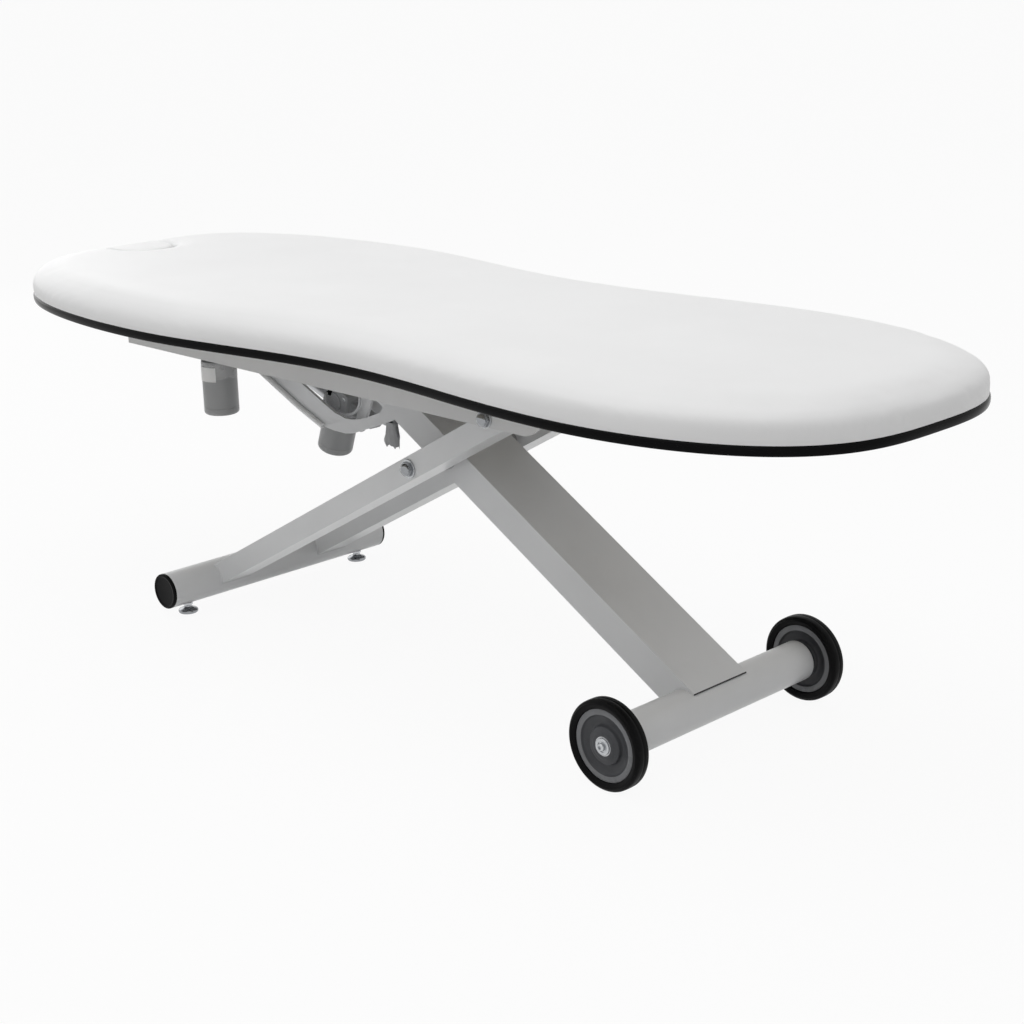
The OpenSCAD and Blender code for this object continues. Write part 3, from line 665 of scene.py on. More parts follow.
def dress(
    node: str, body: str, kit: Kit, width_mm: float, segments: int = 3
) -> None:
    """Replaces a CAD node with a copy whose rounded edges catch the light.

    Args:
        node: The CAD node.
        body: The CAD body that it rides on.
        kit: The finish it gets.
        width_mm: How far the rounding reaches from each edge.
        segments: Steps across each rounding.
    """
    # A bevel that folds over itself adds area, and shorter faces keep it from folding.
    most = surface(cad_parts[node].data) * 1.002
    piece = bevelled(node, width_mm, segments, 0)
    for splits in (1, 3, 6, 10):
        if surface(piece.data) <= most:
            break
        bpy.data.objects.remove(piece)
        piece = bevelled(node, width_mm, segments, splits)
    coat(piece, kit)
    soften(piece)
    modify(piece, "WEIGHTED_NORMAL", mode="FACE_AREA", keep_sharp=True, weight=100)
    seat(piece, body, node)


def revolve(
    name: str, profile: Sequence[Pair], at: Point, axis: Point, kit: Kit, steps: int = 96
) -> Piece:
    """Turns a profile round an axis.

    Args:
        name: The object's name.
        profile: Closed outline as (radius, place along the axis from at), in millimetres.
        at: A point on the axis, in millimetres.
        axis: The axis's direction.
        kit: The finish it gets.
        steps: Sides round the axis.

    Returns:
        The new piece.
    """
    along = Vector(axis).normalized()
    side = along.orthogonal().normalized()
    across = along.cross(side)
    rings: list[list[Point]] = []
    for i in range(steps):
        turn = 2 * math.pi * i / steps
        out = side * math.cos(turn) + across * math.sin(turn)
        rings.append([tuple(Vector(at) + out * r + along * v) for r, v in profile])
    return soften(tidy(skin(name, rings, kit, Close.LOOP), 1e-6), 38)


def merge(name: str, pieces: Sequence[Piece]) -> Piece:
    """Joins pieces of one finish into one object.

    Args:
        name: The joined object's name.
        pieces: The pieces, which are used up.

    Returns:
        The joined piece.
    """
    work = bmesh.new()
    for piece in pieces:
        work.from_mesh(piece.data)
    mesh = bpy.data.meshes.new(name)
    closed(work, mesh)
    mesh.materials.append(pieces[0].data.materials[0])
    for piece in pieces:
        bpy.data.objects.remove(piece)
    return put(name, mesh)


def both_sides(name: str, make: Callable[[int], Piece]) -> Piece:
    """Makes a piece for the near side (-1) and the far side (1), and joins the two."""
    return merge(name, [make(side) for side in SIDES.values()])


def carve(piece: Piece, tool: Piece, operation: str = "DIFFERENCE") -> None:
    """Cuts a piece with a tool, or keeps what both share, and throws the tool away."""
    modify(piece, "BOOLEAN", operation=operation, object=tool, solver="EXACT")
    bpy.data.objects.remove(tool)


def button_screw(name: str, at: Point, axis: Point, radius: float, height: float) -> Piece:
    """Makes a zinc-plated button head with a hexagon socket.

    Args:
        name: The object's name.
        at: The middle of the head's seat, in millimetres.
        axis: The direction that the head faces.
        radius: The head's radius.
        height: The head's height.

    Returns:
        The new piece.
    """
    crown = [
        (radius * math.cos(t) ** 0.6, height * (0.35 + 0.65 * math.sin(t)))
        for t in (math.pi / 2 * i / 7 for i in range(7))
    ]
    head = [(0, 0), (radius, 0), *crown, (0, height)]
    piece = revolve(name, head, at, axis, Kit.ZINC, 48)
    floor, top, wide = height - 0.55 * height, height + 3, radius * 0.5
    hexagon = [(0, floor), (wide, floor), (wide, top), (0, top)]
    carve(piece, revolve("socket", hexagon, at, axis, Kit.ZINC, 6))
    return soften(piece, 35)


def smooth_path(points: Sequence[Point], steps: int = 5) -> list[Point]:
    """Runs one smooth line through a route's points.

    Args:
        points: The route.
        steps: New points for each stretch.

    Returns:
        The finer route.
    """
    route = [Vector(p) for p in points]
    route = [2 * route[0] - route[1], *route, 2 * route[-1] - route[-2]]
    found: list[Point] = []
    for i in range(1, len(route) - 2):
        a, b, c, d = route[i - 1 : i + 3]
        for k in range(steps):
            t = k / steps
            found.append(
                tuple(
                    0.5 * (2 * b + (c - a) * t + (2 * a - 5 * b + 4 * c - d) * t**2)
                    + 0.5 * (3 * b - a - 3 * c + d) * t**3
                )
            )
    return [*found, tuple(route[-2])]


def thread(
    name: str, points: Sequence[Point], radius_mm: float, kit: Kit, closed: bool = False,
    ripple: float = 0.0,
) -> Piece:  # fmt: skip
    """Draws a round line, such as a lead or a weld bead.

    Args:
        name: The object's name.
        points: The line's points, in millimetres.
        radius_mm: Its radius.
        kit: The finish it gets.
        closed: True where the line joins its own start.
        ripple: Share by which the radius swells and narrows from point to point.

    Returns:
        The new piece, a curve of one spline.
    """
    data = bpy.data.curves.new(name, "CURVE")
    data.dimensions = "3D"
    data.bevel_depth = radius_mm * MM
    data.bevel_resolution = 4
    data.use_fill_caps = not closed
    spline = data.splines.new("POLY")
    spline.points.add(len(points) - 1)
    for i, (x, y, z) in enumerate(points):
        spline.points[i].co = (x * MM, y * MM, z * MM, 1.0)
        spline.points[i].radius = 1.0 + ripple * (i % 2)
    spline.use_cyclic_u = closed
    spline.use_smooth = True
    data.materials.append(material_of(kit))
    piece = bpy.data.objects.new(name, data)
    bpy.context.scene.collection.objects.link(piece)
    return piece


def arc(centre: Pair, radius: float, start: float, end: float, steps: int) -> list[Pair]:
    """Gives points along a round arc.

    Args:
        centre: The arc's centre.
        radius: Its radius.
        start: Its first angle in degrees.
        end: Its last angle in degrees.
        steps: The number of chords.

    Returns:
        The points, in the units of centre.
    """
    turns = [math.radians(start + (end - start) * i / steps) for i in range(steps + 1)]
    return [(centre[0] + radius * math.cos(t), centre[1] + radius * math.sin(t)) for t in turns]


def share_of(value: float, low: float, high: float) -> float:
    """Gives how far a value has gone from low to high, kept from 0 to 1."""
    return min(max((value - low) / (high - low), 0.0), 1.0)


def ease(value: float, low: float, high: float) -> float:
    """Gives the same share with a soft start and end."""
    share = share_of(value, low, high)
    return share * share * (3 - 2 * share)


# ---- upholstery ----


@dataclass
class Outline:
    """The cushion's outline in plan, in millimetres, the same formula as the solid's."""

    length: float = 2050.0
    head: float = 740.0
    waist: float = 622.0
    foot: float = 700.0
    head_x: float = -454.0
    waist_x: float = 97.0
    foot_x: float = 592.0
    head_square: float = 3.8
    foot_square: float = 3.0

    def half_width(self, x: float) -> float:
        """Gives half the cushion's width between its two lobes.

        Args:
            x: The place along the couch.

        Returns:
            The half width.
        """
        if x < self.waist_x:
            share = (x - self.head_x) / (self.waist_x - self.head_x)
            wide, narrow = self.head / 2, self.waist / 2
        else:
            share = (x - self.waist_x) / (self.foot_x - self.waist_x)
            wide, narrow = self.waist / 2, self.foot / 2
        return (wide + narrow) / 2 + (wide - narrow) / 2 * math.cos(math.pi * share)

    def points(self, end_steps: int = 60, mid_steps: int = 120) -> list[Pair]:
        """Gives the whole outline, clockwise from the head end.

        Args:
            end_steps: Points round each quarter of an end.
            mid_steps: Points between the two lobes.

        Returns:
            The outline's points.
        """
        far: list[Pair] = []
        for i in range(end_steps):
            turn = math.pi / 2 * (1 - i / end_steps) ** 1.35
            reach = -(self.length / 2 + self.head_x)
            far.append(
                (
                    self.head_x + reach * math.sin(turn),
                    self.head / 2 * math.cos(turn) ** (2 / self.head_square),
                )
            )
        for i in range(mid_steps):
            x = self.head_x + (self.foot_x - self.head_x) * i / mid_steps
            far.append((x, self.half_width(x)))
        for i in range(end_steps + 1):
            turn = math.pi / 2 * (i / end_steps) ** (1 / 1.2)
            reach = self.length / 2 - self.foot_x
            far.append(
                (
                    self.foot_x + reach * math.sin(turn),
                    self.foot / 2 * max(math.cos(turn), 0.0) ** (2 / self.foot_square),
                )
            )
        return far + [(x, -y) for x, y in reversed(far[1:-1])]

    def normals(self) -> list[Pair]:
        """Gives the outline's inward unit normals.

        Returns:
            One normal for each of the outline's points.
        """
        pts = self.points()
        found = []
        for i, behind in enumerate([pts[-1], *pts[:-1]]):
            ahead = pts[(i + 1) % len(pts)]
            dx, dy = ahead[0] - behind[0], ahead[1] - behind[1]
            size = math.hypot(dx, dy)
            found.append((dy / size, -dx / size))
        return found

    def inset(self, depth: float) -> list[Pair]:
        """Gives the outline moved inwards along its normals by depth."""
        pairs = zip(self.points(), self.normals())
        return [(x + depth * nx, y + depth * ny) for (x, y), (nx, ny) in pairs]


@dataclass
class Upholstery:
    """The cushion and the face plug: foam under white coated upholstery, in millimetres."""

    outline: Outline
    board_top: float = 608.0
    height: float = 57.0
    crown_gap: float = 1.0
    head_round: Pair = (62.0, 44.0)
    foot_round: Pair = (86.0, 32.0)
    swell: float = 3.4
    hem: float = 1.6
    sink: float = 14.0
    trim_gap: float = 0.35
    round_span: Pair = (-500.0, 500.0)
    swell_span: Pair = (-900.0, 800.0)
    swell_rise: Pair = (-6.0, 20.0)
    foot_swell: float = 0.4
    notch_w: float = 128.0
    notch_l: float = 160.0
    plug_gaps: Point = (0.8, 4.2, 8.0)
    cutter_past: float = 20.0
    cutter_z: Pair = (568.0, 720.0)
    voxel: float = 7.0
    cap: float = 4.0
    plug_voxel: float = 5.0
    plug_cap: float = 2.0
    staple: float = 3.0
    frames: int = 12
    ironing: int = 10

    def edge_round(self, x: float) -> Pair:
        """Gives how far the top edge's rounding reaches.

        Args:
            x: The place along the couch.

        Returns:
            Its reach inward and down.
        """
        share = ease(x, *self.round_span)
        inward, down = (a + (b - a) * share for a, b in zip(self.head_round, self.foot_round))
        return inward, down

    def swelling(self, x: float, height: float) -> float:
        """Gives how far the side stands out.

        Args:
            x: The place along the couch.
            height: The height above the board's top.

        Returns:
            The distance outwards.
        """
        full = self.swell * (1.0 - (1.0 - self.foot_swell) * share_of(x, *self.swell_span))
        rise = share_of(height, *self.swell_rise)
        return full * math.sin(math.pi / 2 * rise) ** 2 - self.hem

    def form(self, name: str) -> Piece:
        """Builds the cushion's whole form, whose foot is cut off at the board afterwards.

        Args:
            name: The object's name.

        Returns:
            The closed form.
        """
        plan = list(zip(self.outline.points(), self.outline.normals()))
        steps = [(k / 6, 0.0) for k in range(7)]
        steps += [(1.0, math.pi / 2 * k / 14) for k in range(1, 15)]
        rings: list[list[Point]] = []
        for share, turn in steps:
            ring: list[Point] = []
            for (x, y), (nx, ny) in plan:
                inward, down = self.edge_round(x)
                straight = self.height - self.crown_gap - down
                height = -self.sink + (straight + self.sink) * share + down * math.sin(turn)
                depth = inward * (1 - math.cos(turn)) - self.swelling(x, height) * math.cos(turn)
                ring.append((x + depth * nx, y + depth * ny, self.board_top + height))
            rings.append(ring)
        return tidy(skin(name, rings, Kit.UPHOLSTERY, Close.BOTH))

    def cutter(self, near: float, far: float, deep: float) -> Piece:
        """Builds the U-shaped prism of the face cut-out.

        Args:
            near: How far its near wall stands inside the cut-out's edge.
            far: The same for its far wall.
            deep: The same for its round inner end.

        Returns:
            The prism, which reaches past the cushion above, below and at the head end.
        """
        wide = self.notch_w - near - far
        middle = (near - far) / 2
        head = -self.outline.length / 2
        centre = head + self.notch_l - self.notch_w / 2 - deep
        plan = [(head - self.cutter_past, middle - wide / 2)]
        plan += arc((centre, middle), wide / 2, -90, 90, 24)
        plan += [(head - self.cutter_past, middle + wide / 2)]
        rings = [[(x, y, z) for x, y in plan] for z in self.cutter_z]
        return tidy(skin("cutter", rings, Kit.UPHOLSTERY, Close.BOTH))

    def blow_up(self, piece: Piece) -> None:
        """Runs the cloth simulation that swells the cover over its foam.

        Args:
            piece: The evenly meshed form, whose foot is stapled to the board.
        """
        held = piece.vertex_groups.new(name="stapled")
        low = (self.board_top + self.staple) * MM
        held.add([v.index for v in piece.data.vertices if v.co.z < low], 1.0, "REPLACE")
        cloth = piece.modifiers.new("cover", "CLOTH")
        fabric = {
            "quality": 4, "mass": 0.3, "tension_stiffness": 40, "compression_stiffness": 40,
            "bending_stiffness": 12, "use_pressure": True, "uniform_pressure_force": 3.0,
            "vertex_group_mass": "stapled",
        }  # fmt: skip
        for name, value in fabric.items():
            setattr(cloth.settings, name, value)
        cloth.settings.effector_weights.gravity = 0.0
        cloth.collision_settings.use_collision = False
        cloth.point_cache.frame_start, cloth.point_cache.frame_end = 1, self.frames
        for step in range(1, self.frames + 1):
            bpy.context.scene.frame_set(step)
        bake(piece)
        bpy.context.scene.frame_set(1)

    def settle(self, piece: Piece, before: list[Vector], cap: float) -> None:
        """Caps how far the cover has moved and irons the small puckers out of it.

        Args:
            piece: The swollen cover.
            before: Where its points were.
            cap: The furthest that a point may move.
        """
        mesh = piece.data
        moved = [v.co - start for v, start in zip(mesh.vertices, before)]
        moved = [m if m.length <= cap * MM else m.normalized() * cap * MM for m in moved]
        beside: list[list[int]] = [[] for _ in before]
        for edge in mesh.edges:
            a, b = edge.vertices
            beside[a].append(b)
            beside[b].append(a)
        for _ in range(self.ironing):
            moved = [
                (m + sum((moved[k] for k in near), Vector()) / max(len(near), 1)) / 2
                for m, near in zip(moved, beside)
            ]
        for vertex, start, step in zip(mesh.vertices, before, moved):
            vertex.co = start + step

    def trim(self, piece: Piece) -> None:
        """Cuts the cover off flat where it meets the board.

        Args:
            piece: The finished cover.
        """
        work = opened(piece.data)
        level = (0, 0, (self.board_top + self.trim_gap) * MM)
        cut = bmesh.ops.bisect_plane(
            work, geom=everything(work), plane_co=level, plane_no=(0, 0, 1), clear_inner=True
        )
        rim = [item for item in cut["geom_cut"] if isinstance(item, bmesh.types.BMEdge)]
        bmesh.ops.holes_fill(work, edges=rim, sides=0)
        closed(work, piece.data)

    def cover(self, name: str, tool: Piece, operation: str, voxel: float, cap: float) -> Piece:
        """Cuts a cover from the form, meshes it evenly, blows it up as cloth and trims it.

        Args:
            name: The cover's name.
            tool: The cut-out's prism.
            operation: DIFFERENCE for the cushion, INTERSECT for the plug.
            voxel: The mesh's cell size.
            cap: The furthest that a point may move.

        Returns:
            The finished cover.
        """
        piece = self.form(name)
        carve(piece, tool, operation)
        modify(piece, "REMESH", mode="VOXEL", voxel_size=voxel * MM, use_smooth_shade=True)
        modify(piece, "SMOOTH", iterations=3, factor=0.5)
        before = [v.co.copy() for v in piece.data.vertices]
        self.blow_up(piece)
        self.settle(piece, before, cap)
        modify(piece, "SUBSURF", levels=1, render_levels=1)
        self.trim(piece)
        soften(piece, 60)
        coat(piece, Kit.UPHOLSTERY)
        return piece

    def build(self) -> None:
        """Makes the cushion with its face cut-out, and the plug that fills it."""
        whole = self.cutter(0, 0, 0)
        cushion = self.cover("cushion_cover", whole, "DIFFERENCE", self.voxel, self.cap)
        seat(cushion, "top_frame", "pad")
        fitted = self.cutter(*self.plug_gaps)
        plug = self.cover(
            "face_plug_cover", fitted, "INTERSECT", self.plug_voxel, self.plug_cap
        )
        seat(plug, "face_plug", "plug_cushion")


@dataclass
class Board:
    """The plywood board under the cushion, with its glossy black edging, in millimetres."""

    outline: Outline
    low: float = 593.0
    thick: float = 15.0
    deep: float = 3.0
    tongue: float = 16.0

    def edging(self) -> None:
        """Lofts the edging, with a crowned outer face and a thin tongue under the cushion."""
        low, top = self.low, self.low + self.thick
        section = [
            (self.deep, low), (1.4, low), (0.5, low + 0.5), (0.0, low + 1.8), (-0.6, low + 4.0),
            (-0.8, low + 7.0), (-0.8, top - 6.0), (-0.6, top - 4.6), (-0.2, top - 3.3),
            (0.4, top - 2.1), (1.1, top - 1.1), (1.9, top - 0.4), (2.7, top - 0.05), (3.4, top),
            (self.tongue, top + 0.2), (self.tongue, top + 0.05), (self.deep, top + 0.05),
        ]  # fmt: skip
        rings = [[(x, y, z) for x, y in self.outline.inset(depth)] for depth, z in section]
        piece = soften(tidy(skin("edging_strip", rings, Kit.EDGING, Close.LOOP)), 60)
        seat(piece, "top_frame", "edge_band")

    def build(self) -> None:
        """Builds the edging and dresses the plywood and its screws."""
        self.edging()
        for node, body in (("base_board", "top_frame"), ("plug_foot", "face_plug")):
            dress(node, body, Kit.PLYWOOD, 0.8, 2)
        dress("board_screws", "top_frame", Kit.ZINC, 0.8, 2)


# ---- painted frame ----


@dataclass
class PaintedFrame:
    """Every welded and folded steel part under its powder coat, in millimetres."""

    tube_round: float = 3.2
    sheet_round: float = 1.2
    slide: Pair = (-160.12, 526.08)
    flange_edge: tuple[Pair, ...] = ((-385, -24), (-199, -108), (-128, -135))
    flange_start: float = 28.0
    flange_inset: float = 2.0
    flange_y: float = 60.2
    flange_radius: float = 5.3

    def build(self) -> None:
        """Rounds the edges of each painted part and puts it on its body."""
        tubes = {"outer_leg": ("outer_arm_near", "outer_arm_far"), "inner_leg": ("box_beam",)}
        sheets = {
            "outer_leg": ("front_tube",),
            "inner_leg": ("rear_tube", "lever_plates"),
            "slider_arm": ("slider_plate_near", "slider_plate_far"),
            "top_frame": (
                "side_rail_near", "side_rail_far", "cross_members", "guide_plates", "drop_bracket",
            ),
        }  # fmt: skip
        for group, width, segments in ((tubes, self.tube_round, 4), (sheets, self.sheet_round, 3)):
            for body, nodes in group.items():
                for node in nodes:
                    # The side rails take the deeper coat, which is painted shade for the shadow
                    # under the board.
                    kit = Kit.RAIL_PAINTED_SHADE if node.startswith("side_rail") else Kit.POWDER_COAT
                    dress(node, body, kit, width, segments)
        for side, sign in SIDES.items():
            self.flange(side, sign)

    def flange(self, side: str, sign: int) -> None:
        """Makes the round rolled edge along a slider plate's flange.

        Args:
            side: The plate's side.
            sign: -1 for the near plate, 1 for the far one.
        """
        edge = [Vector(self.slide) + Vector(p) for p in self.flange_edge]
        runs = [(edge[1] - edge[0]).normalized(), (edge[2] - edge[1]).normalized()]
        ups = [Vector((-run.y, run.x)) for run in runs]
        start = edge[0] + runs[0] * self.flange_start + ups[0] * self.flange_inset
        bend = edge[1] + (ups[0] + ups[1]) / 2 * self.flange_inset
        end = edge[2] + ups[1] * self.flange_inset
        route = [start, start.lerp(bend, 0.5), start.lerp(bend, 0.92), bend.lerp(end, 0.12)]
        route += [bend.lerp(end, 0.5), end]
        line = smooth_path([(p.x, sign * self.flange_y, p.y) for p in route], 6)
        # The rolled edge takes the lighter coat, which is painted light.
        piece = thread(f"slider_flange_{side}", line, self.flange_radius, Kit.EDGE_PAINTED_LIGHT)
        seat(piece, "slider_arm")


@dataclass
class Welds:
    """The beads where the arms and the beam meet their cross tubes, in millimetres."""

    path_radius: float = 35.4
    bead: float = 1.7
    seam: float = 1.3
    ripple: float = 0.16
    arm_slope: float = 28.93
    arm_half: float = 35.9
    arm_sides: Pair = (87.0, 157.0)
    beam_slope: float = 29.69
    beam_turn: float = 130.3
    beam_half_width: float = 65.0
    seam_at: float = 36.2

    def round_tube(self, centre: Pair, y: float, a0: float, a1: float) -> list[Point]:
        """Gives an arc from a0 to a1 degrees round the cross tube on centre, at one Y."""
        steps = max(4, int(abs(a1 - a0) / 4))
        return [(x, y, z) for x, z in arc(centre, self.path_radius, a0, a1, steps)]

    def straight(self, start: Point, end: Point) -> list[Point]:
        """Gives points 3 mm apart between two ends, both left out.

        Args:
            start: The first end.
            end: The last end.

        Returns:
            The points between.
        """
        count = int(math.dist(start, end) / 3.0)
        a, b = Vector(start), Vector(end)
        return [tuple(a.lerp(b, i / count)) for i in range(1, count)]

    def arm(self, side: str, sign: int) -> None:
        """Runs a closed bead round an outer arm's end on the front tube.

        Args:
            side: The arm's side.
            sign: -1 for the near arm, 1 for the far one.
        """
        low, high = self.arm_slope - self.arm_half, self.arm_slope + self.arm_half
        inner = self.round_tube(FRONT, sign * self.arm_sides[0], low, high)
        outer = self.round_tube(FRONT, sign * self.arm_sides[1], high, low)
        loop = inner + self.straight(inner[-1], outer[0]) + outer
        loop += self.straight(outer[-1], inner[0])
        bead = thread(f"arm_weld_{side}", loop, self.bead, Kit.WELD, True, self.ripple)
        seat(bead, "outer_leg")

    def beam(self) -> None:
        """Runs the bead round the beam's end and draws the open seam along its top as a dark strip
        of painted shadow.
        """
        half = self.beam_half_width
        top = 90.0 - self.beam_slope
        low = top + self.beam_turn
        near = self.round_tube(AXLE, -half, top, low)
        far = self.round_tube(AXLE, half, low, top)
        path = near + self.straight(near[-1], far[0]) + far
        bead = thread("beam_weld", path, self.bead, Kit.WELD, False, self.ripple)
        seat(bead, "inner_leg")
        # The seam is drawn as a dark strip, which is painted shadow in the gap under the beam's
        # top edge.
        x = AXLE[0] + self.seam_at * math.cos(math.radians(top)) + 0.7
        z = AXLE[1] + self.seam_at * math.sin(math.radians(top)) - 0.2
        line = [(x, -half + 2 * half * i / 20, z) for i in range(21)]
        seat(thread("beam_seam_painted_shadow", line, self.seam, Kit.SEAM_SHADOW), "inner_leg")

    def build(self) -> None:
        """Builds every bead."""
        for side, sign in SIDES.items():
            self.arm(side, sign)
        self.beam()


# ---- wheels and feet ----


@dataclass
class Wheel:
    """One wheel: a rubber tyre on a dished plastic centre, in millimetres."""

    side: str
    middle: float

    def turned(self, name: str, half: list[Pair], kit: Kit, node: str) -> None:
        """Turns a section that is the same on both sides of the wheel's middle.

        Args:
            name: The object's name.
            half: The outer half of the section, from the bore outwards.
            kit: The finish it gets.
            node: The CAD node that it stands for.
        """
        whole = half + [(r, -v) for r, v in reversed(half)]
        piece = revolve(name, whole, (AXLE[0], self.middle, AXLE[1]), (0, 1, 0), kit, 144)
        seat(piece, f"wheel_{self.side}", node)

    def tyre(self) -> None:
        """Makes the tyre, with round shoulders and a thin lip beside the rim."""
        half = [(60.0, 9.6), (60.3, 10.9), (61.2, 11.8), (62.6, 12.5), (64.4, 13.4), (66.0, 14.1)]
        half += [(67.5, 14.6), (69.2, 14.6)]
        half += arc((68.6, 7.6), 6.2, 78, 12, 7)
        half += [(74.9, 4.4), (75.0, 0.6), (74.8, 0.3)]
        name = f"tyre_{self.side}"
        self.turned(f"{name}_rubber", half, Kit.TYRE, name)

    def centre(self) -> None:
        """Makes the centre: hub disc, dished web and the flat ring inside the tyre."""
        half = [(16.0, 12.5), (20.6, 12.5), (21.5, 12.1), (22.3, 11.3), (26.0, 10.6), (29.4, 9.9)]
        half += [(30.6, 9.3), (31.2, 8.2), (31.7, 5.6), (32.4, 3.4), (33.8, 2.3), (36.0, 2.1)]
        half += [(39.5, 2.7), (43.0, 3.8), (46.0, 5.0), (47.6, 5.8), (48.6, 6.9), (49.2, 8.3)]
        half += [(50.0, 9.2), (51.2, 9.5), (58.6, 9.5), (59.6, 9.1), (60.0, 8.4)]
        name = f"rim_{self.side}"
        self.turned(f"{name}_moulding", half, Kit.WHEEL_CENTRE, name)

    def painted_light_rings(self) -> None:
        """Makes the smoother flat ring on each face of the centre, lighter as painted light."""
        section = [(50.2, 9.2), (50.2, 9.6), (50.9, 9.8), (58.7, 9.8), (59.4, 9.55), (59.4, 9.2)]
        at = (AXLE[0], self.middle, AXLE[1])
        rings = both_sides(
            f"rim_{self.side}_rings",
            lambda sign: revolve("ring", section, at, (0, sign, 0), Kit.WHEEL_RING_PAINTED_LIGHT, 144),
        )
        seat(rings, f"wheel_{self.side}")

    def build(self) -> None:
        """Builds the tyre and the centre."""
        self.tyre()
        self.centre()
        self.painted_light_rings()


@dataclass
class Ends:
    """What closes the ends of the axles and of the front tube, in millimetres."""

    washer_y: float = 259.3
    screw_y: float = 260.3
    screw_size: Pair = (6.5, 6.5)
    cap_y: float = 264.0
    foot_y: float = 217.0

    def washers(self) -> None:
        """Makes the cupped washers on the axles' ends."""
        section = [(6.0, 0.0), (14.0, 0.0), (14.0, 1.5), (13.4, 2.3), (12.3, 2.6), (9.6, 2.6)]
        section += [(8.8, 2.2), (8.3, 1.1), (6.0, 1.0)]
        pair = both_sides(
            "axle_washers_cupped",
            lambda sign: revolve(
                "washer", section, (AXLE[0], sign * self.washer_y, AXLE[1]), (0, sign, 0), Kit.ZINC
            ),
        )
        seat(pair, "inner_leg", "axle_washers")

    def screws(self) -> None:
        """Makes the socket screws that hold the wheels."""
        pair = both_sides(
            "axle_screws_socket",
            lambda sign: button_screw(
                "screw", (AXLE[0], sign * self.screw_y, AXLE[1]), (0, sign, 0), *self.screw_size
            ),
        )
        seat(pair, "inner_leg", "axle_screws")

    def caps(self) -> None:
        """Makes the front tube's moulded caps, each with a raised rim and a plug in the tube."""
        section = [(0.0, -17.0), (29.0, -17.0), (30.5, 0.0), (35.0, 0.0), (35.0, 3.6), (34.5, 4.7)]
        section += [(33.4, 5.5), (32.2, 5.9), (31.0, 5.9), (29.9, 5.4), (28.8, 4.7), (26.0, 4.4)]
        section += [(0.0, 4.2)]
        kit = Kit.BLACK_PLASTIC
        pair = both_sides(
            "front_caps_moulded",
            lambda sign: revolve(
                "cap", section, (FRONT[0], sign * self.cap_y, FRONT[1]), (0, sign, 0), kit
            ),
        )
        seat(pair, "outer_leg", "front_caps")

    def feet(self) -> None:
        """Makes the levelling feet's discs, which rise as a cone to the ball's socket."""
        section = [(0.0, 4.4), (4.6, 4.8), (6.15, 7.5), (6.15, 12.0), (8.2, 12.0), (8.8, 11.2)]
        section += [(10.4, 9.8), (13.0, 8.8), (16.0, 7.9), (18.2, 6.8), (19.4, 5.2), (19.6, 3.4)]
        section += [(19.2, 1.6), (18.2, 0.4), (17.0, 0.0), (0.0, 0.0)]
        for side, sign in SIDES.items():
            at = (FRONT[0], sign * self.foot_y, 0.0)
            piece = revolve(f"foot_{side}_dish", section, at, (0, 0, 1), Kit.CHROME, 72)
            seat(piece, "levelling_feet", f"foot_disc_{side}")

    def build(self) -> None:
        """Builds the ends and the feet."""
        self.washers()
        self.screws()
        self.caps()
        self.feet()


# ---- actuators and leads ----


@dataclass
class Actuator:
    """A linear actuator: gearbox, motor hanging from it, and what is fixed to them, in mm."""

    prefix: str
    body: str
    at: Point
    down: Point
    along: Point
    motor_end: float
    radius: float = 34.0
    motor_start: float = 28.0
    screw_x: float = 24.5
    screw_z: float = 19.5
    face_y: float = 25.0
    screw_y: float = 24.9
    screw_size: Pair = (4.4, 2.6)

    def place(self, x: float, y: float, z: float) -> Point:
        """Turns a place on the actuator to the couch's frame.

        Args:
            x: Distance along the push rod's line from the motor's axis.
            y: Distance across.
            z: Distance down the motor's axis.

        Returns:
            The place.
        """
        spot = Vector(self.at) + Vector(self.along) * x + Vector(self.down) * z
        return spot.x, spot.y + y, spot.z

    def motor(self) -> None:
        """Makes the motor's drawn can, with a closing seam and a rounded end."""
        r, start, end = self.radius, self.motor_start, self.motor_end
        section = [(0.0, start), (r - 0.8, start), (r, start + 0.8), (r, end - 15.2)]
        section += [(r - 0.5, end - 14.8), (r - 0.5, end - 14.2), (r, end - 13.8)]
        section += arc((r - 6.0, end - 6.0), 6.0, 0, 90, 8)
        section += [(r - 9.0, end), (r - 9.6, end - 0.6), (9.0, end - 0.6), (8.0, end), (0.0, end)]
        piece = revolve(f"{self.prefix}_motor_can", section, self.at, self.down, Kit.MOTOR, 120)
        seat(piece, self.body, f"{self.prefix}_motor")

    def gearbox(self) -> None:
        """Rounds the gearbox and adds its round covers and screws."""
        dress(f"{self.prefix}_gearbox", self.body, Kit.GEARBOX, 2.5)
        section = [(0, -0.5), (18.5, -0.5), (18.5, 1.4), (17.7, 2.2), (8.4, 2.2), (7.6, 3.0)]
        section += [(0, 3.0)]
        covers, screws = [], []
        for sign in SIDES.values():
            facing = (0.0, float(sign), 0.0)
            middle = self.place(0, sign * self.face_y, 0)
            covers.append(revolve("cover", section, middle, facing, Kit.GEARBOX, 72))
            for x in (-self.screw_x, self.screw_x):
                for z in (-self.screw_z, self.screw_z):
                    at = self.place(x, sign * self.screw_y, z)
                    screws.append(button_screw("screw", at, facing, *self.screw_size))
        seat(merge(f"{self.prefix}_gear_covers", covers), self.body)
        seat(merge(f"{self.prefix}_gear_screws", screws), self.body)

    def build(self) -> None:
        """Builds the actuator: motor, gearbox and the outer tube of its rod."""
        self.motor()
        self.gearbox()
        dress(f"{self.prefix}_sleeve", self.body, Kit.ANODISED, 1.0)


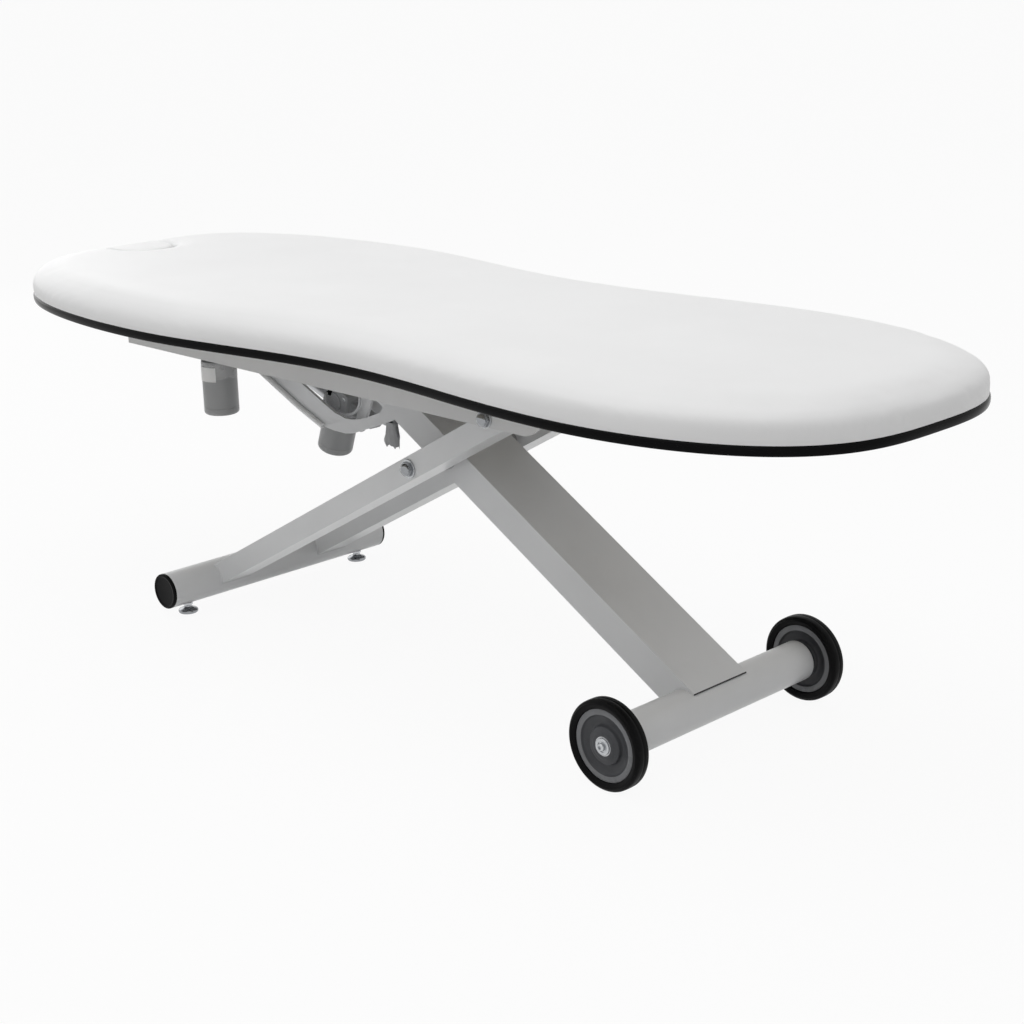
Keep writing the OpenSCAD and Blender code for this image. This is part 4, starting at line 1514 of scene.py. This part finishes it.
@dataclass
class MotorWrap:
    """The blank label on the upright motor's can and the clear tape round it, in millimetres."""

    at: Pair = (-524.0, -120.0)
    radius: float = 34.0
    thick: float = 0.15

    def patch(self, name: str, turn: Pair, high: Pair, out: float, kit: Kit) -> None:
        """Bends a thin sheet round the can and puts it on the top frame.

        Args:
            name: The object's name.
            turn: Its first and last angle in degrees.
            high: Its lowest and highest place.
            out: How far it stands off the can.
            kit: The finish it gets.
        """
        steps, rows = 48, 8
        line = arc(self.at, self.radius + out, turn[0], turn[1], steps)
        levels = [high[0] + (high[1] - high[0]) * k / rows for k in range(rows + 1)]
        points = [(x, y, z) for z in levels for x, y in line]
        starts = [k * (steps + 1) + i for k in range(rows) for i in range(steps)]
        faces = [(a, a + 1, a + steps + 2, a + steps + 1) for a in starts]
        piece = mesh_piece(name, points, faces, kit)
        modify(piece, "SOLIDIFY", thickness=self.thick * MM, offset=1.0)
        seat(soften(piece, 50), "top_frame")

    def build(self) -> None:
        """Builds the label and the tape."""
        self.patch("motor_label_blank", (-126, -48), (460, 488), 0.7, Kit.LABEL)
        self.patch("motor_tape", (-175, 95), (466, 495), 0.35, Kit.TAPE)


@dataclass
class Leads:
    """The tilted actuator's own lead and the folded lead on its peg, in millimetres."""

    thick: float = 2.34
    length: float = 836.0
    peg: Pair = (-103.12, 435.0)
    layers: tuple[float, float, float] = (-42.25, -44.7, -47.15)
    inner: float = 2.45
    neck: Pair = (3.4, 9.8)
    belly: Pair = (32.6, 15.6)
    film: float = 0.3
    film_reach: float = 17.2
    film_hem: float = -46.0

    def actuator_lead(self) -> None:
        """Makes the lead that loops from the gearbox's side to its top, with both its glands."""
        route = [
            (-303, -25.2, 449), (-303, -32, 449), (-302, -38, 446), (-297, -41, 438),
            (-288, -42, 430), (-276, -42, 424), (-262, -42, 421), (-248, -42, 420),
            (-234, -42, 421), (-221, -42, 424), (-210, -42, 430), (-202, -42, 438),
            (-197, -42, 448), (-196, -42, 460), (-199, -42, 472), (-207, -42, 483),
            (-218, -41, 492), (-232, -40, 499), (-247, -38, 502), (-261, -35, 500),
            (-273, -31, 495), (-283, -25, 488), (-289, -19, 481), (-291.5, -15, 474.3),
            (-295.6, -15, 463),
        ]  # fmt: skip
        lead = thread("actuator_lead", smooth_path(route), 2.5, Kit.SHEATH)
        seat(lead, "tilt_actuator", "tilt_lead")
        section = [(2.6, -0.5), (6.0, -0.5), (6.0, 2.0), (4.6, 3.0), (3.4, 8.0), (2.6, 8.0)]
        glands = [
            revolve("gland", section, at, axis, Kit.BLACK_PLASTIC, 48)
            for at, axis in ((route[0], (0, -1, 0)), (route[-1], (0.34, 0, 0.94)))
        ]
        seat(merge("actuator_lead_glands", glands), "tilt_actuator")

    def turn(self, inner: float, y: float) -> list[Point]:
        """Gives one turn of the hank, a teardrop that starts on top of the peg.

        Args:
            inner: How far it lies inside the outermost turn.
            y: Its place across the couch.

        Returns:
            The turn's points.
        """
        x0, z0 = self.peg
        top, low = (x0, z0 - self.neck[0]), (x0, z0 - self.belly[0])
        r0, r1 = self.neck[1] - inner, self.belly[1] - inner
        lean = math.degrees(math.asin((r1 - r0) / (top[1] - low[1])))
        right = arc(top, r0, 90, lean, 6)
        under = arc(low, r1, lean, -180 - lean, 22)
        left = arc(top, r0, 180 - lean, 90, 6)
        outline = right + self.between(right[-1], under[0]) + under
        outline += self.between(under[-1], left[0]) + left
        return [(x, y, z) for x, z in outline[:-1]]

    def between(self, a: Pair, b: Pair) -> list[Pair]:
        """Gives the two points that part the way from a to b in three."""
        return [(a[0] + (b[0] - a[0]) * t, a[1] + (b[1] - a[1]) * t) for t in (0.33, 0.67)]

    def hank(self) -> list[Point]:
        """Winds the folded lead: three turns outside, three inside, then the tail to its plug.

        Returns:
            The lead's whole route.
        """
        plan = [(0.0, y) for y in self.layers] + [(self.inner, y) for y in reversed(self.layers)]
        turns = [self.turn(inner, y) for inner, y in plan]
        route: list[Point] = []
        for k, points in enumerate(turns):
            following = turns[min(k + 1, len(turns) - 1)]
            start, end = (0.5, 0.68) if k != 2 else (0.72, 0.92)
            for i, point in enumerate(points):
                share = ease(i / len(points), start, end)
                route.append(tuple(Vector(point).lerp(Vector(following[i]), share)))
        x0, z0 = self.peg
        y = self.layers[0] + 0.6
        over = arc((x0, z0 - self.neck[0]), self.neck[1] - self.inner, 90, 20, 4)
        route += [(x, y, z) for x, z in over]
        tail = [(8.0, 1.6, -12), (7.6, 3.2, -19), (6.0, 4.6, -25), (3.0, 5.4, -30)]
        tail += [(0.8, 5.6, -34), (0.0, 5.6, -37.5)]
        return route + [(x0 + dx, y + dy, z0 + dz) for dx, dy, dz in tail]

    def folded_lead(self) -> None:
        """Makes the folded lead with its tie, its wrap and its plug."""
        route = self.hank()
        lead = thread("folded_lead", smooth_path(route, 2), self.thick / 2, Kit.LEAD)
        section = [(0.0, 12.5), (2.6, 12.5), (3.9, 11.9), (3.9, 7.6), (3.4, 7.2), (3.9, 6.8)]
        section += [(3.9, 5.6), (3.4, 5.2), (3.9, 4.8), (3.9, 3.6), (3.2, 2.6), (2.4, 0.0)]
        section += [(1.7, -4.5), (1.25, -4.5), (1.25, 0.0), (0.0, 0.0)]
        kit = Kit.BLACK_PLASTIC
        plug = revolve("folded_lead_plug", section, route[-1], (0, 0, -1), kit, 48)
        strap, wrap = self.strap(), self.wrap()
        seat(plug, "slider_arm", "lead_plug")
        seat(strap, "slider_arm")
        seat(wrap, "slider_arm")
        seat(lead, "slider_arm", "lead_hank")

    def strap(self) -> Piece:
        """Makes the tie round the hank's neck.

        Returns:
            The tie.
        """
        x0, z0 = self.peg
        middle = (self.layers[0] + self.layers[2]) / 2
        rings = []
        for grow, z in ((0.0, -12.5), (1.0, -12.5), (1.0, -8.5), (0.0, -8.5)):
            wide, deep, corner = 11.6 + grow, 4.8 + grow, 3.0 + grow
            ring: list[Point] = []
            for sx, sy, a in ((1, 1, 0), (-1, 1, 90), (-1, -1, 180), (1, -1, 270)):
                centre = (x0 + sx * (wide - corner), middle + sy * (deep - corner))
                ring += [(x, y, z0 + z) for x, y in arc(centre, corner, a, a + 90, 5)]
            rings.append(ring)
        return soften(tidy(skin("folded_lead_tie", rings, Kit.FILM, Close.LOOP)), 40)

    def film_ring(self, low: float, wide: float, deep: float) -> list[Point]:
        """Gives one level of the creased film.

        Args:
            low: Its height from the peg's.
            wide: Half its width along the couch, less on the side where the beam passes.
            deep: Half its depth across the couch.

        Returns:
            The level's points.
        """
        x0, z0 = self.peg
        middle = (self.layers[0] + self.layers[2]) / 2 - 0.75
        ring: list[Point] = []
        for i in range(72):
            turn = 2 * math.pi * i / 72
            c, n = math.cos(turn), math.sin(turn)
            fold = 0.35 * math.sin(9 * turn + low * 0.07) * min(1.0, -low / 30)
            reach = wide if c < 0 else min(wide, self.film_reach)
            x = x0 + (reach + fold) * math.copysign(abs(c) ** 0.8, c)
            y = middle + (deep + fold) * math.copysign(abs(n) ** 0.7, n)
            ragged = 2.6 * math.sin(5 * turn + 0.6) + 1.4 * math.sin(11 * turn)
            ring.append((x, y, z0 + low - ragged * max(self.film_hem - low, 0.0) / 6.0))
        return ring

    def wrap(self) -> Piece:
        """Makes the creased film round the hank, open at its ragged lower end.

        Returns:
            The wrap.
        """
        levels = [(-7.0, 11.0, 4.5), (-14.0, 10.7, 4.5), (-20.0, 11.4, 4.55), (-27.0, 14.4, 4.6)]
        levels += [(-34.0, 18.4, 4.6), (-41.0, 21.6, 4.6), (-46.0, 21.8, 4.5), (-51.5, 18.6, 4.1)]
        rings = [self.film_ring(*level) for level in levels]
        piece = tidy(skin("folded_lead_wrap", rings, Kit.FILM, Close.OPEN))
        return soften(modify(piece, "SOLIDIFY", thickness=self.film * MM, offset=1.0), 60)

    def build(self) -> None:
        """Builds both leads."""
        self.actuator_lead()
        self.folded_lead()


def dress_hardware() -> None:
    """Dresses the shafts, bolts, washers, caps and bushes, which keep their solids' shapes."""
    zinc, steel = ("zinc_plate", Kit.ZINC), ("bright_steel", Kit.GROUND_STEEL)
    cap, rod = ("chrome_cap", Kit.CHROME), ("rod_chrome", Kit.CHROME)
    roller = ("roller_plastic", Kit.BLACK_PLASTIC)
    pieces = [
        ("foot_stems", "outer_leg", zinc, 0.5), ("foot_lock_nuts", "outer_leg", zinc, 0.6),
        ("stub_axles", "inner_leg", steel, 0.8), ("scissor_shaft", "inner_leg", steel, 0.8),
        ("scissor_spacers", "inner_leg", ("black_plastic", Kit.GEARBOX), 0.8),
        ("scissor_washers", "inner_leg", zinc, 0.6), ("scissor_caps", "inner_leg", cap, 0.5),
        ("slide_shaft", "inner_leg", steel, 1.0), ("lever_pin", "inner_leg", steel, 0.8),
        ("slide_rollers", "slide_rollers", roller, 1.0),
        ("rear_rollers", "rear_rollers", roller, 1.0), ("rear_shaft", "slider_arm", steel, 1.0),
        ("tilt_rod", "slider_arm", rod, 1.2), ("drop_rod", "slider_arm", rod, 1.2),
        ("lead_peg", "slider_arm", zinc, 0.5), ("top_bolts", "top_frame", steel, 0.8),
        ("top_spacers", "top_frame", zinc, 0.4), ("top_washers", "top_frame", zinc, 0.6),
        ("top_caps", "top_frame", cap, 0.5), ("top_nuts", "top_frame", zinc, 0.8),
        ("control_box", "top_frame", ("black_plastic", Kit.BLACK_PLASTIC), 3.0),
        ("bearing_near", "wheel_near", steel, 0.4), ("bearing_far", "wheel_far", steel, 0.4),
    ]  # fmt: skip
    for node, body, (slot, kit), width in pieces:
        dress(node, body, kit, width)


# ---- studio ----


@dataclass
class Studio:
    """The camera, the pale sweep and the soft lights."""

    azimuth: float = 46.04
    elevation: float = 16.92
    roll: float = -1.43
    distance: float = 3.3608
    target: Point = (0.1614, 0.0, 0.3113)
    sensor_mm: float = 36.0
    lens_mm: float = 67.23457
    shift: Pair = (-0.0008984, -0.0057715)
    cast_light: float = 0.7
    paper_glow: float = 0.93

    def camera(self) -> None:
        """Sets the camera at the couch's three-quarter view."""
        data = bpy.data.cameras.new("camera")
        camera = put("camera", data)
        az, el, roll = (math.radians(v) for v in (self.azimuth, self.elevation, self.roll))
        back = Vector((math.sin(az) * math.cos(el), -math.cos(az) * math.cos(el), math.sin(el)))
        right = Vector((math.cos(az), math.sin(az), 0.0))
        up = back.cross(right)
        across = right * math.cos(roll) + up * math.sin(roll)
        upward = up * math.cos(roll) - right * math.sin(roll)
        turn = Matrix((across, upward, back)).transposed().to_4x4()
        camera.matrix_world = Matrix.Translation(Vector(self.target) + back * self.distance) @ turn
        data.sensor_width, data.lens = self.sensor_mm, self.lens_mm
        data.shift_x, data.shift_y = self.shift
        data.clip_start, data.clip_end = 0.05, 60.0
        bpy.context.scene.camera = camera

    def sweep(self) -> None:
        """Builds the floor, which curves up into a backdrop all round."""
        profile = [(50.0, 0.0), (3000.0, 0.0), (7000.0, 0.0)]
        profile += arc((9000.0, 3000.0), 3000.0, -90, 0, 12) + [(12000.0, 9000.0)]
        turns = [2 * math.pi * i / 96 for i in range(96)]
        rings = [[(r * math.cos(t), r * math.sin(t), z) for t in turns] for r, z in profile]
        floor = tidy(skin("studio_floor", rings, Kit.LABEL, Close.FIRST))
        floor.data.shade_smooth()
        floor.data.materials[0] = self.paper()

    def mix(self, tree: Tree, dim: float, cast: Socket, shown: Socket, output: str) -> None:
        """Shows one shader to rays that see the background and another to rays that light.

        Args:
            tree: The node tree.
            dim: The share of the shown one that seeing rays get.
            cast: The shader for light.
            shown: The shader for camera, glossy and transmitted rays.
            output: The output node's type.
        """
        path = add_node(tree, "ShaderNodeLightPath").outputs
        seen = path["Is Camera Ray"]
        for ray in ("Is Glossy Ray", "Is Transmission Ray"):
            most = {"operation": "MAXIMUM"}
            seen = add_node(tree, "ShaderNodeMath", most, {0: seen, 1: path[ray]}).outputs["Value"]
        share = add_node(tree, "ShaderNodeMath", {"operation": "MULTIPLY", 1: dim}, {0: seen})
        links = {0: share.outputs["Value"], 1: cast, 2: shown}
        both = add_node(tree, "ShaderNodeMixShader", links=links)
        add_node(tree, output, links={"Surface": both.outputs["Shader"]})

    def paper(self) -> bpy.types.Material:
        """Builds the sweep's paper: matt white, and near white to the camera.

        Returns:
            The material.
        """
        material = bpy.data.materials.new("paper_matt_white")
        tree = emptied(material)
        matt = add_node(tree, "ShaderNodeBsdfDiffuse", {"Color": linear("E6E6E6")}).outputs["BSDF"]
        white = {"Color": linear("FFFFFF"), "Strength": 1.0}
        glow = add_node(tree, "ShaderNodeEmission", white).outputs["Emission"]
        self.mix(tree, self.paper_glow, matt, glow, "ShaderNodeOutputMaterial")
        return material

    def world(self) -> None:
        """Sets an even pale world, dimmer for the light that it casts."""
        world = bpy.data.worlds.new("studio")
        bpy.context.scene.world = world
        tree = emptied(world)
        cast, shown = (
            add_node(
                tree, "ShaderNodeBackground", {"Color": linear("FFFFFF"), "Strength": strength}
            ).outputs["Background"]
            for strength in (self.cast_light, 1.0)
        )
        self.mix(tree, 1.0, cast, shown, "ShaderNodeOutputWorld")

    def lamp(self, name: str, at: Point, aim: Point, size: Pair, power: float) -> None:
        """Hangs one soft box.

        Args:
            name: The lamp's name.
            at: Its place in metres.
            aim: The point that it faces.
            size: Its width and height in metres.
            power: Its power in watts.
        """
        data = bpy.data.lights.new(name, "AREA")
        data.shape = "RECTANGLE"
        data.size, data.size_y = size
        data.energy = power
        lamp = put(name, data)
        lamp.location = at
        lamp.rotation_mode = "QUATERNION"
        lamp.rotation_quaternion = (Vector(aim) - Vector(at)).to_track_quat("-Z", "Y")

    def build(self) -> None:
        """Builds the whole studio."""
        bpy.context.scene.view_settings.view_transform = "Standard"
        self.camera()
        self.sweep()
        self.world()
        self.lamp("overhead", (-0.4, -0.6, 3.4), (0.0, 0.0, 0.5), (3.6, 2.6), 34.0)
        self.lamp("head_side", (-4.0, 0.6, 1.4), (0.0, 0.0, 0.3), (2.4, 1.8), 14.0)


def main() -> None:
    """Builds the studio and every dressed piece, in order."""
    logging.basicConfig(level=logging.INFO, format="%(name)s: %(message)s")
    outline = Outline()
    Studio().build()
    Leads().build()
    PaintedFrame().build()
    Welds().build()
    for side, sign in SIDES.items():
        Wheel(side, sign * WHEEL_Y).build()
    Ends().build()
    Actuator(
        "tilt", "tilt_actuator", at=(-292.877, 0.0, 432.001), down=(-0.34001, 0.0, -0.94042),
        along=(-0.94042, 0.0, 0.34001), motor_end=108.0,
    ).build()  # fmt: skip
    Actuator(
        "drop", "top_frame", at=(-524.0, -120.0, 526.08), down=(0.0, 0.0, -1.0),
        along=(1.0, 0.0, 0.0), motor_end=134.0,
    ).build()  # fmt: skip
    MotorWrap().build()
    dress_hardware()
    Board(outline).build()
    Upholstery(outline).build()


if __name__ == "__main__":
    main()
